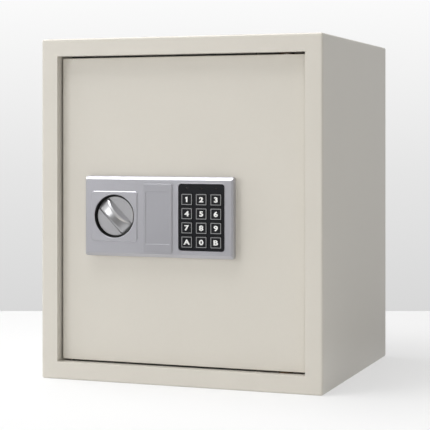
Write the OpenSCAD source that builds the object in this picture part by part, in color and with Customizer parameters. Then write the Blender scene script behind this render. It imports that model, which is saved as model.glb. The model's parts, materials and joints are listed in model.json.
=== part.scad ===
// In-room safe: a folded steel cabinet with an inset door, an electronic lock panel,
// two live bolts, a solenoid interlock, an override lock and a battery compartment.
// Units are millimetres. X is to the right, Y to the back and Z up; the origin is on the floor
// plane, at the centre of the cabinet's footprint. The door is closed and the bolts are withdrawn.

/* [Cabinet] */
// Outside width of the cabinet
body_w = 344; // [330:1:430]
// Outside depth of the cabinet, without the knob
body_d = 300; // [260:1:380]
// Outside height of the cabinet
body_h = 400; // [350:1:520]
// Thickness of the cabinet's sheet steel
sheet_t = 2; // [1.5:0.1:2.4]
// Outside radius of the cabinet's long bends
corner_r = 3; // [2:0.5:6]
// Width of the frame's front face round the door
frame_w = 20.5; // [18:0.5:26]
// Depth of the folded jambs behind the front face
jamb_d = 44; // [42:1:52]

/* [Door] */
// Thickness of the door plate
door_t = 4; // [3:0.5:6]
// How far the door's face lies behind the frame's face
door_recess = 10.5; // [9:0.5:14]
// Gap above, below and on the bolt side of the door
door_gap = 2.2; // [1.8:0.1:4]
// Gap between the door and the jamb on the hinge side
hinge_gap = 2.6; // [2.4:0.1:4]
// Distance from the door's hinge edge to the pivot line
pivot_inset = 25; // [24:1:30]
// Distance from the door plate's back to the pivot line
pivot_depth = 6.5; // [6:0.1:7]
// Diameter of the hinge pins
hinge_pin_d = 8; // [6:0.5:9]
// Height of each hinge bracket
hinge_bracket_h = 28; // [20:1:34]

/* [Door box] */
// Depth of the box of works behind the door plate
box_depth = 42; // [41:0.5:50]
// Thickness of the box's sheet
box_t = 1.5; // [1:0.1:2]
// Distance from the door's bolt edge to the box
box_inset = 10.2; // [9.5:0.1:14]
// Distance from the door's top and bottom edges to the box
box_margin = 38; // [30:1:44]

/* [Bolts] */
// Diameter of the live bolts
bolt_d = 18; // [14:0.5:22]
// Length of a live bolt
bolt_len = 30; // [29:0.5:32]
// Travel of the bolts
bolt_throw = 18; // [14:0.5:18]
// Height of each bolt above or below the knob's line
bolt_offset = 62; // [50:1:70]
// Thickness of the bolt carrier's plate
carrier_t = 2.5; // [2:0.1:3]
// Diameter of the shoulder of a guide stud
guide_d = 8; // [6:0.5:9]

/* [Knob] */
// Diameter of the knob's disc
knob_d = 45.5; // [36:0.5:56]
// Gap between the knob's disc and the wall of its pocket
knob_gap = 2.2; // [1:0.1:4]
// How far the knob's disc lies behind the rim of its pocket
knob_recess = 4.2; // [3:0.1:4.5]
// Height of the grip's crest above the disc
grip_h = 9; // [6:0.5:14]
// Width of the grip where it meets the disc
grip_w = 18.5; // [10:0.5:22]
// Width of the grip at its crest
grip_top_w = 10.5; // [6:0.5:18]
// Diameter of the knob's shaft
shaft_d = 8; // [6:0.5:9]
// Diameter of the crank's pin
crank_pin_d = 6; // [4:0.5:7]

/* [Lock panel] */
// Border of the panel above and below the tallest fitting on it
panel_border = 7.3; // [6:0.1:12]
// Distance from the panel's left edge to the knob's raised square
panel_lead = 8.4; // [6:0.1:12]
// Distance between the fittings on the panel
panel_gap = 7.8; // [6:0.1:12]
// Distance from the keypad to the panel's right edge
panel_tail = 9.8; // [9.6:0.1:18]
// How far the panel stands proud of the door
panel_t = 10; // [10:0.5:12]
// Distance from the door's bolt edge to the panel
panel_inset = 33.6; // [30:0.1:40]
// How far the panel's centre lies below the cabinet's middle
panel_drop = 7; // [-20:1:20]
// Chamfer along the top and bottom of the panel's front
panel_bevel = 4; // [2:0.5:5]
// Chamfer along the sides of the panel's front
panel_side_bevel = 2; // [1.5:0.5:4]
// Width of the raised square's border round the knob's pocket
boss_rim = 4.1; // [2:0.1:6]
// Height of the raised square
boss_h = 1.2; // [0.6:0.1:2]
// Width of the cover over the override lock
cover_w = 35; // [29:0.5:44]
// Height of that cover
cover_h = 78.5; // [65:0.5:96]
// How far that cover stands proud of the panel
cover_rise = 1.4; // [0.8:0.1:2]

/* [Keypad] */
// Width of a key
key_w = 13.8; // [11:0.1:17]
// Height of a key
key_h = 13.5; // [10:0.1:17]
// Gap between the keys' columns
key_gap_x = 3.8; // [2.5:0.1:6]
// Gap between the keys' rows
key_gap_z = 2.65; // [2.2:0.05:6]
// Width of the bezel beside and below the keys
pad_edge = 3.4; // [2.5:0.1:6]
// Height of the bezel above the keys, where the lights are
pad_head = 11.2; // [8:0.1:14]
// How far a key stands proud of the bezel
key_rise = 0.9; // [0.8:0.1:1.5]
// Travel of a key
key_throw = 0.7; // [0.4:0.1:0.8]

/* [Override lock] */
// Diameter of the lock's barrel
barrel_d = 19; // [16:0.5:19]
// Diameter of the plug that the key turns
plug_d = 12; // [9:0.5:13]
// Reach of the lock's cam from its axis to its tip
cam_reach = 22; // [21:0.5:23]

/* [Solenoid] */
// Diameter of the solenoid's plunger
plunger_d = 8; // [6:0.5:8]
// Travel of the plunger
plunger_throw = 5.5; // [4:0.1:5.5]
// Diameter of the coil
coil_d = 18; // [15:0.5:22]
// Length of the coil
coil_len = 24; // [20:0.5:28]

/* [Battery] */
// Diameter of a cell
cell_d = 14; // [10:0.1:17]
// Length of a cell's can
cell_len = 48; // [40:0.5:58]
// Gap between two cells
cell_gap = 1; // [0.5:0.1:3]
// Room for the contacts at each end of a cell
contact_room = 3.5; // [3:0.1:5]

/* [Shelf] */
// Height of the shelf's top above the floor plane
shelf_z = 205; // [150:1:260]
// Gap between the shelf and each side wall, which its brackets bridge
shelf_gap = 22; // [20.5:0.5:27]
// Depth of the shelf's folded lips
shelf_lip = 15; // [8:1:20]

/* [Anchors] */
// Diameter of the anchor holes in the floor and the back
anchor_d = 11; // [8:0.5:14]
// Distance between the two anchor holes
anchor_pitch = 200; // [120:1:240]
// Height of the two anchor holes in the back
anchor_z = 290; // [220:1:320]
// Thickness of the felt mat
mat_t = 3; // [2:0.5:5]

/* [Hidden] */
$fn = 64;
running = 0.05;       // radial clearance of a shaft in its bearing
slip = 0.2;           // clearance between pieces that slide
seat = 0.3;           // clearance between bodies that rest on each other
front_y = -body_d / 2;
back_y = body_d / 2;
wall_x = body_w / 2 - sheet_t;
inner_r = max(corner_r - sheet_t, 0.5);

// Door opening, door plate and pivot line
open_x = body_w / 2 - frame_w;
open_z = [frame_w, body_h - frame_w];
jamb_y = front_y + jamb_d;
door_x = [-open_x + door_gap, open_x - hinge_gap];
door_z = [open_z[0] + door_gap, open_z[1] - door_gap];
door_y = [front_y + door_recess, front_y + door_recess + door_t];
pivot_x = door_x[1] - pivot_inset;
pivot_y = door_y[1] + pivot_depth;
bracket_w = 28;
bracket_d = pivot_depth + hinge_pin_d / 2 + 3;
bush_wall = 2.5;
flange_t = 1.2;
stop_x = [door_x[0] + 10, pivot_x - 34];
stop_h = 8;
stop_t = 3;

// Box of works on the back of the door
box_x = [door_x[0] + box_inset, pivot_x - bracket_w / 2 - 6];
box_z = [door_z[0] + box_margin, door_z[1] - box_margin];
lid_y = [door_y[1] + box_depth, door_y[1] + box_depth + box_t];
box_tab = 14;
box_corners = [for (x = [box_x[0] + box_tab / 2, box_x[1] - box_tab / 2])
               for (z = [box_z[0] + box_tab / 2, box_z[1] - box_tab / 2]) [x, z]];
cover_screw_d = 3;

// Lock panel, from the bolt side to the hinge side: knob, override cover, keypad
pocket_d = knob_d + 2 * knob_gap;
boss_side = pocket_d + 2 * boss_rim;
pad_w = 3 * key_w + 2 * key_gap_x + 2 * pad_edge;
pad_h = 4 * key_h + 3 * key_gap_z + pad_edge + pad_head;
panel_w = panel_lead + boss_side + panel_gap + cover_w + panel_gap + pad_w + panel_tail;
panel_h = max(boss_side, cover_h, pad_h) + 2 * panel_border;
panel_x = [door_x[0] + panel_inset, door_x[0] + panel_inset + panel_w];
panel_z = body_h / 2 - panel_drop;
panel_y = door_y[0] - panel_t;
panel_wall = 2.4;
panel_corner = 3;
knob_x = panel_x[0] + panel_lead + boss_side / 2;
cover_x = knob_x + boss_side / 2 + panel_gap + cover_w / 2;
cover_z = panel_z - 1.2;
pad_x = cover_x + cover_w / 2 + panel_gap + pad_w / 2;
pad_z = panel_z + 0.4;
post_d = 6;
panel_screw_d = 3;
post_inset = panel_wall + post_d / 2 - 0.8;
panel_posts = [for (x = [panel_x[0] + post_inset, panel_x[1] - post_inset])
               for (z = [panel_z - panel_h / 2 + 7, panel_z + panel_h / 2 - 7]) [x, z]];

// Knob
boss_y = panel_y - boss_h;
disc_y = boss_y + knob_recess;
disc_t = 3.6;
pocket_floor_y = [disc_y + disc_t + 0.6, disc_y + disc_t + 1.8];
grip_chord = knob_d - 1;
grip_arc_r = (pow(grip_chord / 2, 2) + pow(grip_h, 2)) / (2 * grip_h);
grip_turn = 45;
grip_past_w = grip_top_w - (grip_w - grip_top_w) / grip_h;

// Override cover
cover_lip = 2.8;
label_w = 29.5;
label_h = 60.3;
label_depth = 0.5;

// Keypad: bezel, keys, mat and board, from the front to the back
pad_y = panel_y + 0.3;
pad_flange = 2;
pad_flange_y = panel_y + panel_wall;
key_flange_y = [pad_flange_y + 1.8, pad_flange_y + 2.6];
mat_y = [key_flange_y[1] + key_throw + seat, key_flange_y[1] + key_throw + seat + 0.8];
board_t = 1.4;
pad_bottom = pad_z - pad_h / 2 + pad_edge;
key_pitch_x = key_w + key_gap_x;
key_pitch_z = key_h + key_gap_z;
key_at = function (column, row)
    [pad_x + (column - 1) * key_pitch_x, pad_bottom + key_h / 2 + (3 - row) * key_pitch_z];
light_z = pad_z + pad_h / 2 - 5.1;
light_d = 2.6;

// Bolt work: layers behind the door plate, from the door to the inside
crank_t = 3;
crank_y = [door_y[1] + 0.6, door_y[1] + 0.6 + crank_t];
carrier_y = [crank_y[1] + 0.9, crank_y[1] + 0.9 + carrier_t];
crank_r = bolt_throw / sqrt(2);
crank_arm = 9;
crank_end_d = 10;
crank_hub_d = shaft_d + 8;
crank_slack = 0.55;
crank_pin = [knob_x + crank_r * cos(45), panel_z + crank_r * sin(45)];
bolt_y = carrier_y[0] + bolt_d / 2;
bolt_x = [door_x[0] + 1.2, door_x[0] + 1.2 + bolt_len];
bolt_tip = 1.5;
bolt_screw_d = 5;
lug_x = [bolt_x[1], bolt_x[1] + carrier_t];
bolts_z = [panel_z - bolt_offset, panel_z + bolt_offset];
spine_w = 22;
stud_head_d = guide_d + 5;
guide_x = lug_x[0] + 14;
guides_z = [bolts_z[0] + 4, bolts_z[1] - 4];
guide_arm = [lug_x[0], guide_x + guide_d / 2 + bolt_throw + 6];
arm_z = [panel_z - 17, panel_z + 27];
arm_end = cover_x - barrel_d / 2 - 2;
flange_y = [carrier_y[0], carrier_y[0] + 18];

// Solenoid, above the carrier's flange
solenoid_x = arm_end - bolt_throw - plunger_d / 2 - 5.2;
solenoid_y = flange_y[0] + 8;
tip_z = arm_z[1] + 0.5;
lift_t = 1.5;
lift_z = [tip_z + plunger_throw, tip_z + plunger_throw + lift_t];
yoke_t = 2;
yoke_w = coil_d + 3;
yoke_z = [lift_z[1] + 4, lift_z[1] + 4 + coil_len + 2 * yoke_t];

// Override lock: at rest its cam points down, and a quarter turn lifts the plunger
lock_z = panel_z + 22;
barrel_y = [panel_y + 2.7, flange_y[1] - seat];
barrel_flange_d = barrel_d + 4;
nut_d = barrel_d + 7;
cam_y = [flange_y[1] + 0.5, flange_y[1] + 2.5];
cam_half = 4.7;
cam_lift = lift_z[0] - seat - lock_z;
cam_rise = asin(cam_lift / norm([cam_reach, cam_half])) - atan2(cam_half, cam_reach);
lift_x = [solenoid_x - plunger_d / 2 - 2, cover_x - cam_reach * cos(cam_rise) + 3];

// Battery box and reset board, near the hinge side of the box
cell_pitch = cell_d + cell_gap;
tray_w = 4 * cell_pitch;
tray_h = cell_len + 2 * contact_room;
tray_t = 1.6;
tray_x = box_x[1] - 15 - tray_w / 2;
tray_z = box_z[0] + 32 + tray_h / 2;
tray_y = [lid_y[0] - cell_d - 4, lid_y[0]];
cell_y = tray_y[0] + tray_t + cell_d / 2 + slip;
hatch_t = 1.8;
hatch_w = tray_w + 10;
hatch_h = tray_h + 9;
hatch_y = [lid_y[1] + 1.4 + seat, lid_y[1] + 1.4 + seat + hatch_t];
rail_t = 2;
rail_y = [lid_y[1], hatch_y[1] + seat + 1.3];
board_x = box_x[1] - 44;
board_z = panel_z + 67;
board_w = 50;
board_h = 46;
board_y = [lid_y[0] - 13.5, lid_y[0] - 13.5 + board_t];
switch_y = [board_y[1], board_y[1] + 6.4];
button_d = 7.4;
button_y = [switch_y[1] + 1.1, lid_y[1] + 1.2];
button_collar_y = [lid_y[0] - 2.8, lid_y[0] - seat];

// Wiring: one trunk through the door, and a lead to each fitting behind it
grommet_d = 12;
trunk_d = 5;
lead_d = 3;
lead_y = door_y[1] + 10.5;

// Shelf and anchors
anchors_x = [-anchor_pitch / 2, anchor_pitch / 2];
anchor_y = 20;
shelf_t = 1.5;
shelf_y = [jamb_y + 38, back_y - sheet_t - 4];
bracket_leg = 30;
bracket_y = [shelf_y[0] + shelf_t + seat, shelf_y[1] - shelf_t - seat];

// ---- Shapes that repeat ----

// A block between two values on each axis
module block(x, y, z) {
    translate([x[0], y[0], z[0]])
        cube([x[1] - x[0], y[1] - y[0], z[1] - z[0]]);
}

// Round bars along each axis, between two values on it
module bar_x(x, y, z, d) {
    translate([x[0], y, z]) rotate([0, 90, 0]) cylinder(h = x[1] - x[0], d = d);
}
module bar_y(x, y, z, d) {
    translate([x, y[0], z]) rotate([-90, 0, 0]) cylinder(h = y[1] - y[0], d = d);
}
module bar_z(x, y, z, d) {
    translate([x, y, z[0]]) cylinder(h = z[1] - z[0], d = d);
}

// An upright plate with round corners, between two values of Y
module slab(x, y, z, r) {
    translate([0, y[1], 0]) rotate([90, 0, 0]) linear_extrude(y[1] - y[0]) {
        translate([x[0] + r, z[0]]) square([x[1] - x[0] - 2 * r, z[1] - z[0]]);
        translate([x[0], z[0] + r]) square([x[1] - x[0], z[1] - z[0] - 2 * r]);
        for (px = [x[0] + r, x[1] - r])
            for (pz = [z[0] + r, z[1] - r])
                translate([px, pz]) circle(r = r);
    }
}

// A slab whose front edges are chamfered, at its sides by their own width if one is given
module fronted_slab(x, y, z, r, bevel, side_bevel) {
    side = is_undef(side_bevel) ? bevel : side_bevel;
    intersection() {
        slab(x, y, z, r);
        translate([0, 0, z[0]]) linear_extrude(z[1] - z[0])
            polygon([[x[0], y[1]], [x[0], y[0] + side], [x[0] + side, y[0]],
                     [x[1] - side, y[0]], [x[1], y[0] + side], [x[1], y[1]]]);
        translate([x[0], 0, 0]) rotate([90, 0, 90]) linear_extrude(x[1] - x[0])
            polygon([[y[1], z[0]], [y[0] + bevel, z[0]], [y[0], z[0] + bevel],
                     [y[0], z[1] - bevel], [y[0] + bevel, z[1]], [y[1], z[1]]]);
    }
}

// Both sides of a centre line
function about(centre, width) = [centre - width / 2, centre + width / 2];

// A square-cornered lead through a list of points
module lead(points, d) {
    for (i = [0 : len(points) - 2]) {
        run = points[i + 1] - points[i];
        translate(points[i])
            rotate([0, acos(run[2] / norm(run)), atan2(run[1], run[0])])
                cylinder(h = norm(run), d = d);
    }
    for (i = [1 : len(points) - 2])
        translate(points[i]) sphere(d = d);
}

// ---- Cabinet ----

// Sides, top and floor, folded from one sheet
module cabinet_wrap() {
    color("ivory")
    difference() {
        slab([-body_w / 2, body_w / 2], [front_y + sheet_t, back_y], [0, body_h], corner_r);
        slab([-wall_x, wall_x], [front_y, back_y + 1], [sheet_t, body_h - sheet_t], inner_r);
        for (x = anchors_x)
            bar_z(x, anchor_y, [-1, sheet_t + 1], anchor_d);
    }
}

// The frame round the door: face, jambs and rear flanges
module frame_ring() {
    difference() {
        union() {
            slab([-body_w / 2, body_w / 2], [front_y, front_y + sheet_t], [0, body_h], corner_r);
            block([-open_x - sheet_t, open_x + sheet_t], [front_y, jamb_y],
                  [open_z[0] - sheet_t, open_z[1] + sheet_t]);
            slab([-wall_x, wall_x], [jamb_y, jamb_y + sheet_t], [sheet_t, body_h - sheet_t],
                 inner_r);
        }
        block([-open_x, open_x], [front_y - 1, jamb_y + sheet_t + 1], open_z);
    }
}

// Frame on the hinge side, above and below the door, with the holes for the hinge bushes
module front_frame() {
    color("ivory")
    difference() {
        frame_ring();
        block([-body_w, -open_x], [front_y - 1, jamb_y + sheet_t + 1], [-1, body_h + 1]);
        bar_z(pivot_x, pivot_y, [open_z[0] - sheet_t - 1, open_z[0] + 1],
              hinge_pin_d + 2 * bush_wall);
        bar_z(pivot_x, pivot_y, [open_z[1] - 1, open_z[1] + sheet_t + 1],
              hinge_pin_d + 2 * bush_wall);
    }
}

// Frame on the bolt side, with the two holes that the bolts enter
module strike_rail() {
    color("ivory")
    difference() {
        intersection() {
            frame_ring();
            block([-body_w, -open_x], [front_y - 1, jamb_y + sheet_t + 1], [-1, body_h + 1]);
        }
        for (z = bolts_z)
            bar_x([-open_x - sheet_t - 1, -open_x + 1], bolt_y, z, bolt_d + 2);
    }
}

module back_panel() {
    color("ivory")
    difference() {
        slab([-wall_x, wall_x], [back_y - sheet_t, back_y], [sheet_t, body_h - sheet_t], inner_r);
        for (x = anchors_x)
            bar_y(x, [back_y - sheet_t - 1, back_y + 1], anchor_z, anchor_d);
    }
}

module floor_mat() {
    color("dimgray")
    difference() {
        block([-wall_x + inner_r, wall_x - inner_r],
              [jamb_y + sheet_t + 0.5, back_y - sheet_t - 0.5],
              [sheet_t, sheet_t + mat_t]);
        for (x = anchors_x)
            bar_z(x, anchor_y, [sheet_t - 1, sheet_t + mat_t + 1], anchor_d + 9);
    }
}

// A tray turned over: its front and rear lips hook outside the brackets
module shelf() {
    x = [shelf_gap - wall_x, wall_x - shelf_gap];
    color("lightgray") {
        block(x, shelf_y, [shelf_z - shelf_t, shelf_z]);
        block(x, [shelf_y[0], shelf_y[0] + shelf_t], [shelf_z - shelf_lip, shelf_z]);
        block(x, [shelf_y[1] - shelf_t, shelf_y[1]], [shelf_z - shelf_lip, shelf_z]);
    }
}

module shelf_brackets() {
    top = shelf_z - shelf_t;
    color("ivory")
    for (side = [0, 1]) mirror([side, 0, 0]) {
        block([wall_x - sheet_t, wall_x], bracket_y, [top - shelf_lip, top]);
        block([wall_x - bracket_leg, wall_x], bracket_y, [top - sheet_t, top]);
    }
}

// Flanged bushes in the frame that carry the hinge pins
module hinge_bushes() {
    for (end = [0, 1])
        translate([pivot_x, pivot_y, end == 0 ? open_z[0] : open_z[1]])
            mirror([0, 0, end])
                color("goldenrod")
                difference() {
                    union() {
                        cylinder(h = flange_t, d = hinge_pin_d + 2 * bush_wall + 5);
                        translate([0, 0, -sheet_t - 4])
                            cylinder(h = sheet_t + 4, d = hinge_pin_d + 2 * bush_wall);
                    }
                    translate([0, 0, -sheet_t - 5])
                        cylinder(h = sheet_t + flange_t + 6, d = hinge_pin_d + 2 * running);
                }
}

// Strips on the frame that the shut door rests against
module door_stops() {
    y = [door_y[1] + seat, door_y[1] + seat + stop_t];
    color("dimgray") {
        block(stop_x, y, [open_z[0], open_z[0] + stop_h]);
        block(stop_x, y, [open_z[1] - stop_h, open_z[1]]);
    }
}

// ---- Door ----

module door_plate() {
    y = [door_y[0] - 1, door_y[1] + 1];
    color("ivory")
    difference() {
        slab(door_x, door_y, door_z, 1);
        bar_y(knob_x, y, panel_z, shaft_d + 5);
        bar_y(cover_x, y, lock_z, barrel_d);
        bar_y(pad_x, y, pad_z, grommet_d);
        for (post = panel_posts)
            bar_y(post[0], y, post[1], panel_screw_d + 2 * slip);
    }
}

// Blocks welded behind the door, bored for the hinge pins
module hinge_brackets() {
    color("gray")
    for (z = [door_z[0] + 0.8, door_z[1] - 0.8 - hinge_bracket_h])
        difference() {
            block(about(pivot_x, bracket_w), [door_y[1], door_y[1] + bracket_d],
                  [z, z + hinge_bracket_h]);
            bar_z(pivot_x, pivot_y, [z - 1, z + hinge_bracket_h + 1], hinge_pin_d);
        }
}

module hinge_pins() {
    reach = door_gap + sheet_t + 8;
    color("silver") {
        bar_z(pivot_x, pivot_y,
              [door_z[0] - reach, door_z[0] + 0.8 + hinge_bracket_h], hinge_pin_d);
        bar_z(pivot_x, pivot_y,
              [door_z[1] - 0.8 - hinge_bracket_h, door_z[1] + reach], hinge_pin_d);
    }
}

// Four walls round the works, with the holes that guide the bolts
module door_box() {
    color("lightgray")
    difference() {
        union() {
            difference() {
                block(box_x, [door_y[1], lid_y[0]], box_z);
                block([box_x[0] + box_t, box_x[1] - box_t], [door_y[1] - 1, lid_y[0] + 1],
                      [box_z[0] + box_t, box_z[1] - box_t]);
            }
            for (corner = box_corners)
                block(about(corner[0], box_tab), [lid_y[0] - 2, lid_y[0]],
                      about(corner[1], box_tab));
        }
        for (z = bolts_z)
            bar_x([box_x[0] - 1, box_x[0] + box_t + 1], bolt_y, z, bolt_d + 2 * slip);
        for (corner = box_corners)
            bar_y(corner[0], [lid_y[0] - 3, lid_y[0] + 1], corner[1], cover_screw_d);
    }
}

module door_back_cover() {
    y = [lid_y[0] - 1, lid_y[1] + 1];
    color("ivory")
    difference() {
        slab(box_x, lid_y, box_z, 1);
        for (corner = box_corners)
            bar_y(corner[0], y, corner[1], cover_screw_d + 2 * slip);
        block(about(tray_x, tray_w + 2 * tray_t), y, about(tray_z, tray_h + 2 * tray_t));
        bar_y(board_x, y, board_z, button_d + 2 * slip);
    }
}

module cover_screws() {
    color("silver")
    for (corner = box_corners) {
        bar_y(corner[0], [lid_y[0] - 7, lid_y[1]], corner[1], cover_screw_d);
        difference() {
            bar_y(corner[0], [lid_y[1], lid_y[1] + 2], corner[1], cover_screw_d * 2);
            block(about(corner[0], 3.6), [lid_y[1] + 1.2, lid_y[1] + 3], about(corner[1], 0.8));
            block(about(corner[0], 0.8), [lid_y[1] + 1.2, lid_y[1] + 3], about(corner[1], 3.6));
        }
    }
}

// Shouldered studs on the door that the carrier's slots run on
module guide_studs() {
    color("silver")
    for (z = guides_z) {
        bar_y(guide_x, [door_y[1], carrier_y[0] - seat], z, stud_head_d);
        bar_y(guide_x, [door_y[1], carrier_y[1] + 2], z, guide_d);
        bar_y(guide_x, [carrier_y[1] + seat, carrier_y[1] + seat + 2.5], z, stud_head_d);
    }
}

// ---- Lock panel ----

module lock_panel() {
    z = about(panel_z, panel_h);
    inset = panel_wall * (2 - sqrt(2));
    color("silver")
    difference() {
        union() {
            difference() {
                fronted_slab(panel_x, [panel_y, door_y[0]], z, panel_corner, panel_bevel,
                             panel_side_bevel);
                fronted_slab([panel_x[0] + panel_wall, panel_x[1] - panel_wall],
                             [panel_y + panel_wall, door_y[0] + 1],
                             [z[0] + panel_wall, z[1] - panel_wall], 1,
                             panel_bevel - inset, max(panel_side_bevel - inset, 0.1));
            }
            fronted_slab(about(knob_x, boss_side), [boss_y, panel_y + 1],
                         about(panel_z, boss_side), panel_corner, boss_h * 0.7);
            bar_y(knob_x, [panel_y + 1, pocket_floor_y[1]], panel_z, pocket_d + 3);
            for (post = panel_posts)
                bar_y(post[0], [panel_y + panel_wall - 0.5, door_y[0]], post[1], post_d);
        }
        bar_y(knob_x, [boss_y - 1, pocket_floor_y[0]], panel_z, pocket_d);
        bar_y(knob_x, [boss_y - 1, door_y[0]], panel_z, shaft_d + 2 * slip);
        slab(about(pad_x, pad_w + 2 * slip), [boss_y - 1, door_y[0] - 2],
             about(pad_z, pad_h + 2 * slip), 3.5);
        block(about(cover_x, cover_w - 2 * cover_lip), [boss_y - 1, door_y[0] - 2],
              about(cover_z, cover_h - 2 * cover_lip));
        for (post = panel_posts)
            bar_y(post[0], [door_y[0] - 6, door_y[0] + 1], post[1], panel_screw_d);
    }
}

// Screws through the door plate into the panel's posts
module panel_screws() {
    color("silver")
    for (post = panel_posts) {
        bar_y(post[0], [door_y[0] - 6, door_y[1]], post[1], panel_screw_d);
        bar_y(post[0], [door_y[1], door_y[1] + 2], post[1], panel_screw_d * 2);
    }
}

// Glossy plate of the keypad, with a flange and a rim behind the panel
module keypad_bezel() {
    x = about(pad_x, pad_w);
    z = about(pad_z, pad_h);
    outer_x = about(pad_x, pad_w + 2 * pad_flange);
    outer_z = about(pad_z, pad_h + 2 * pad_flange);
    color("black")
    difference() {
        union() {
            slab(x, [pad_y, pad_flange_y + 1], z, 3.5);
            difference() {
                slab(outer_x, [pad_flange_y, mat_y[1]], outer_z, 2);
                slab([outer_x[0] + 1.5, outer_x[1] - 1.5], [pad_flange_y + 1.5, mat_y[1] + 1],
                     [outer_z[0] + 1.5, outer_z[1] - 1.5], 1);
            }
        }
        for (column = [0 : 2])
            for (row = [0 : 3])
                block(about(key_at(column, row)[0], key_w + 2 * slip),
                      [pad_y - 1, mat_y[0]],
                      about(key_at(column, row)[1], key_h + 2 * slip));
        for (column = [0 : 2])
            bar_y(key_at(column, 0)[0], [pad_y - 1, mat_y[0]], light_z, light_d);
    }
}

// Silicone mat that returns the keys
module keypad_mat() {
    color("darkslategray")
    slab(about(pad_x, pad_w), mat_y, about(pad_z, pad_h), 2);
}

module keypad_board() {
    color("seagreen")
    slab(about(pad_x, pad_w + 2 * pad_flange), [mat_y[1], mat_y[1] + board_t],
         about(pad_z, pad_h + 2 * pad_flange), 2);
}

// Three lenses above the keys
module status_lights() {
    color("darkred")
    for (column = [0 : 2])
        bar_y(key_at(column, 0)[0], [pad_y, mat_y[0]], light_z, light_d);
}

// One key: a square cap in its hole, and a flange behind the bezel
module key_cap(column, row) {
    at = key_at(column, row);
    color("dimgray") {
        fronted_slab(about(at[0], key_w), [pad_y - key_rise, key_flange_y[0]],
                     about(at[1], key_h), 1, 0.4);
        slab(about(at[0], key_w + 1.6), key_flange_y, about(at[1], key_h + 1.6), 1);
    }
}

module key_1() { key_cap(0, 0); }
module key_2() { key_cap(1, 0); }
module key_3() { key_cap(2, 0); }
module key_4() { key_cap(0, 1); }
module key_5() { key_cap(1, 1); }
module key_6() { key_cap(2, 1); }
module key_7() { key_cap(0, 2); }
module key_8() { key_cap(1, 2); }
module key_9() { key_cap(2, 2); }
module key_a() { key_cap(0, 3); }
module key_0() { key_cap(1, 3); }
module key_b() { key_cap(2, 3); }

// Cover over the override lock: it pulls off its window in the panel
module override_cover() {
    x = about(cover_x, cover_w);
    z = about(cover_z, cover_h);
    front = panel_y - cover_rise;
    plug_x = about(cover_x, cover_w - 2 * cover_lip - 2 * slip);
    plug_z = about(cover_z, cover_h - 2 * cover_lip - 2 * slip);
    color("silver")
    difference() {
        union() {
            fronted_slab(x, [front, panel_y - slip], z, 1.5, 0.5);
            difference() {
                block(plug_x, [panel_y - slip - 0.1, panel_y + 2], plug_z);
                block([plug_x[0] + 1.2, plug_x[1] - 1.2], [panel_y - slip - 1, panel_y + 3],
                      [plug_z[0] + 1.2, plug_z[1] - 1.2]);
            }
        }
        block(about(cover_x, label_w), [front - 1, front + label_depth],
              about(cover_z + 0.2, min(label_h, cover_h - 12)));
    }
}

// ---- Knob and bolt work ----

module knob() {
    color("silver")
    difference() {
        union() {
            bar_y(knob_x, [disc_y, disc_y + disc_t], panel_z, knob_d);
            translate([knob_x, disc_y, panel_z]) rotate([0, grip_turn, 0])
                intersection() {
                    translate([0, grip_arc_r - grip_h, -grip_w / 2 - 1])
                        cylinder(h = grip_w + 2, r = grip_arc_r);
                    rotate([90, 0, 90])
                        linear_extrude(height = knob_d, center = true)
                            polygon([[-grip_h - 1, -grip_past_w / 2], [0, -grip_w / 2],
                                     [1, -grip_w / 2], [1, grip_w / 2],
                                     [0, grip_w / 2], [-grip_h - 1, grip_past_w / 2]]);
                    rotate([90, 0, 0])
                        cylinder(h = 4 * grip_h, d = knob_d - 0.8, center = true);
                }
        }
        bar_y(knob_x, [disc_y - 3, disc_y + disc_t + 1], panel_z, shaft_d);
    }
}

module knob_shaft() {
    color("gray") bar_y(knob_x, [disc_y - 3, crank_y[1] + 0.4], panel_z, shaft_d);
}

// Flanged bush in the door plate that the shaft turns in
module shaft_bushing() {
    color("goldenrod")
    difference() {
        union() {
            bar_y(knob_x, [door_y[0] - 1, door_y[0]], panel_z, shaft_d + 10);
            bar_y(knob_x, door_y, panel_z, shaft_d + 5);
        }
        bar_y(knob_x, [door_y[0] - 2, door_y[1] + 1], panel_z, shaft_d + 2 * running);
    }
}

module knob_crank() {
    color("gray") {
        translate([knob_x, crank_y[1], panel_z]) rotate([90, 0, 0]) linear_extrude(crank_t)
            difference() {
                union() {
                    circle(d = crank_hub_d);
                    rotate(45) translate([0, -crank_arm / 2]) square([crank_r, crank_arm]);
                    rotate(45) translate([crank_r, 0]) circle(d = crank_end_d);
                }
                circle(d = shaft_d);
            }
        bar_y(crank_pin[0], [crank_y[1] - 1, carrier_y[1] + 1.5], crank_pin[1], crank_pin_d);
    }
}

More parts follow.
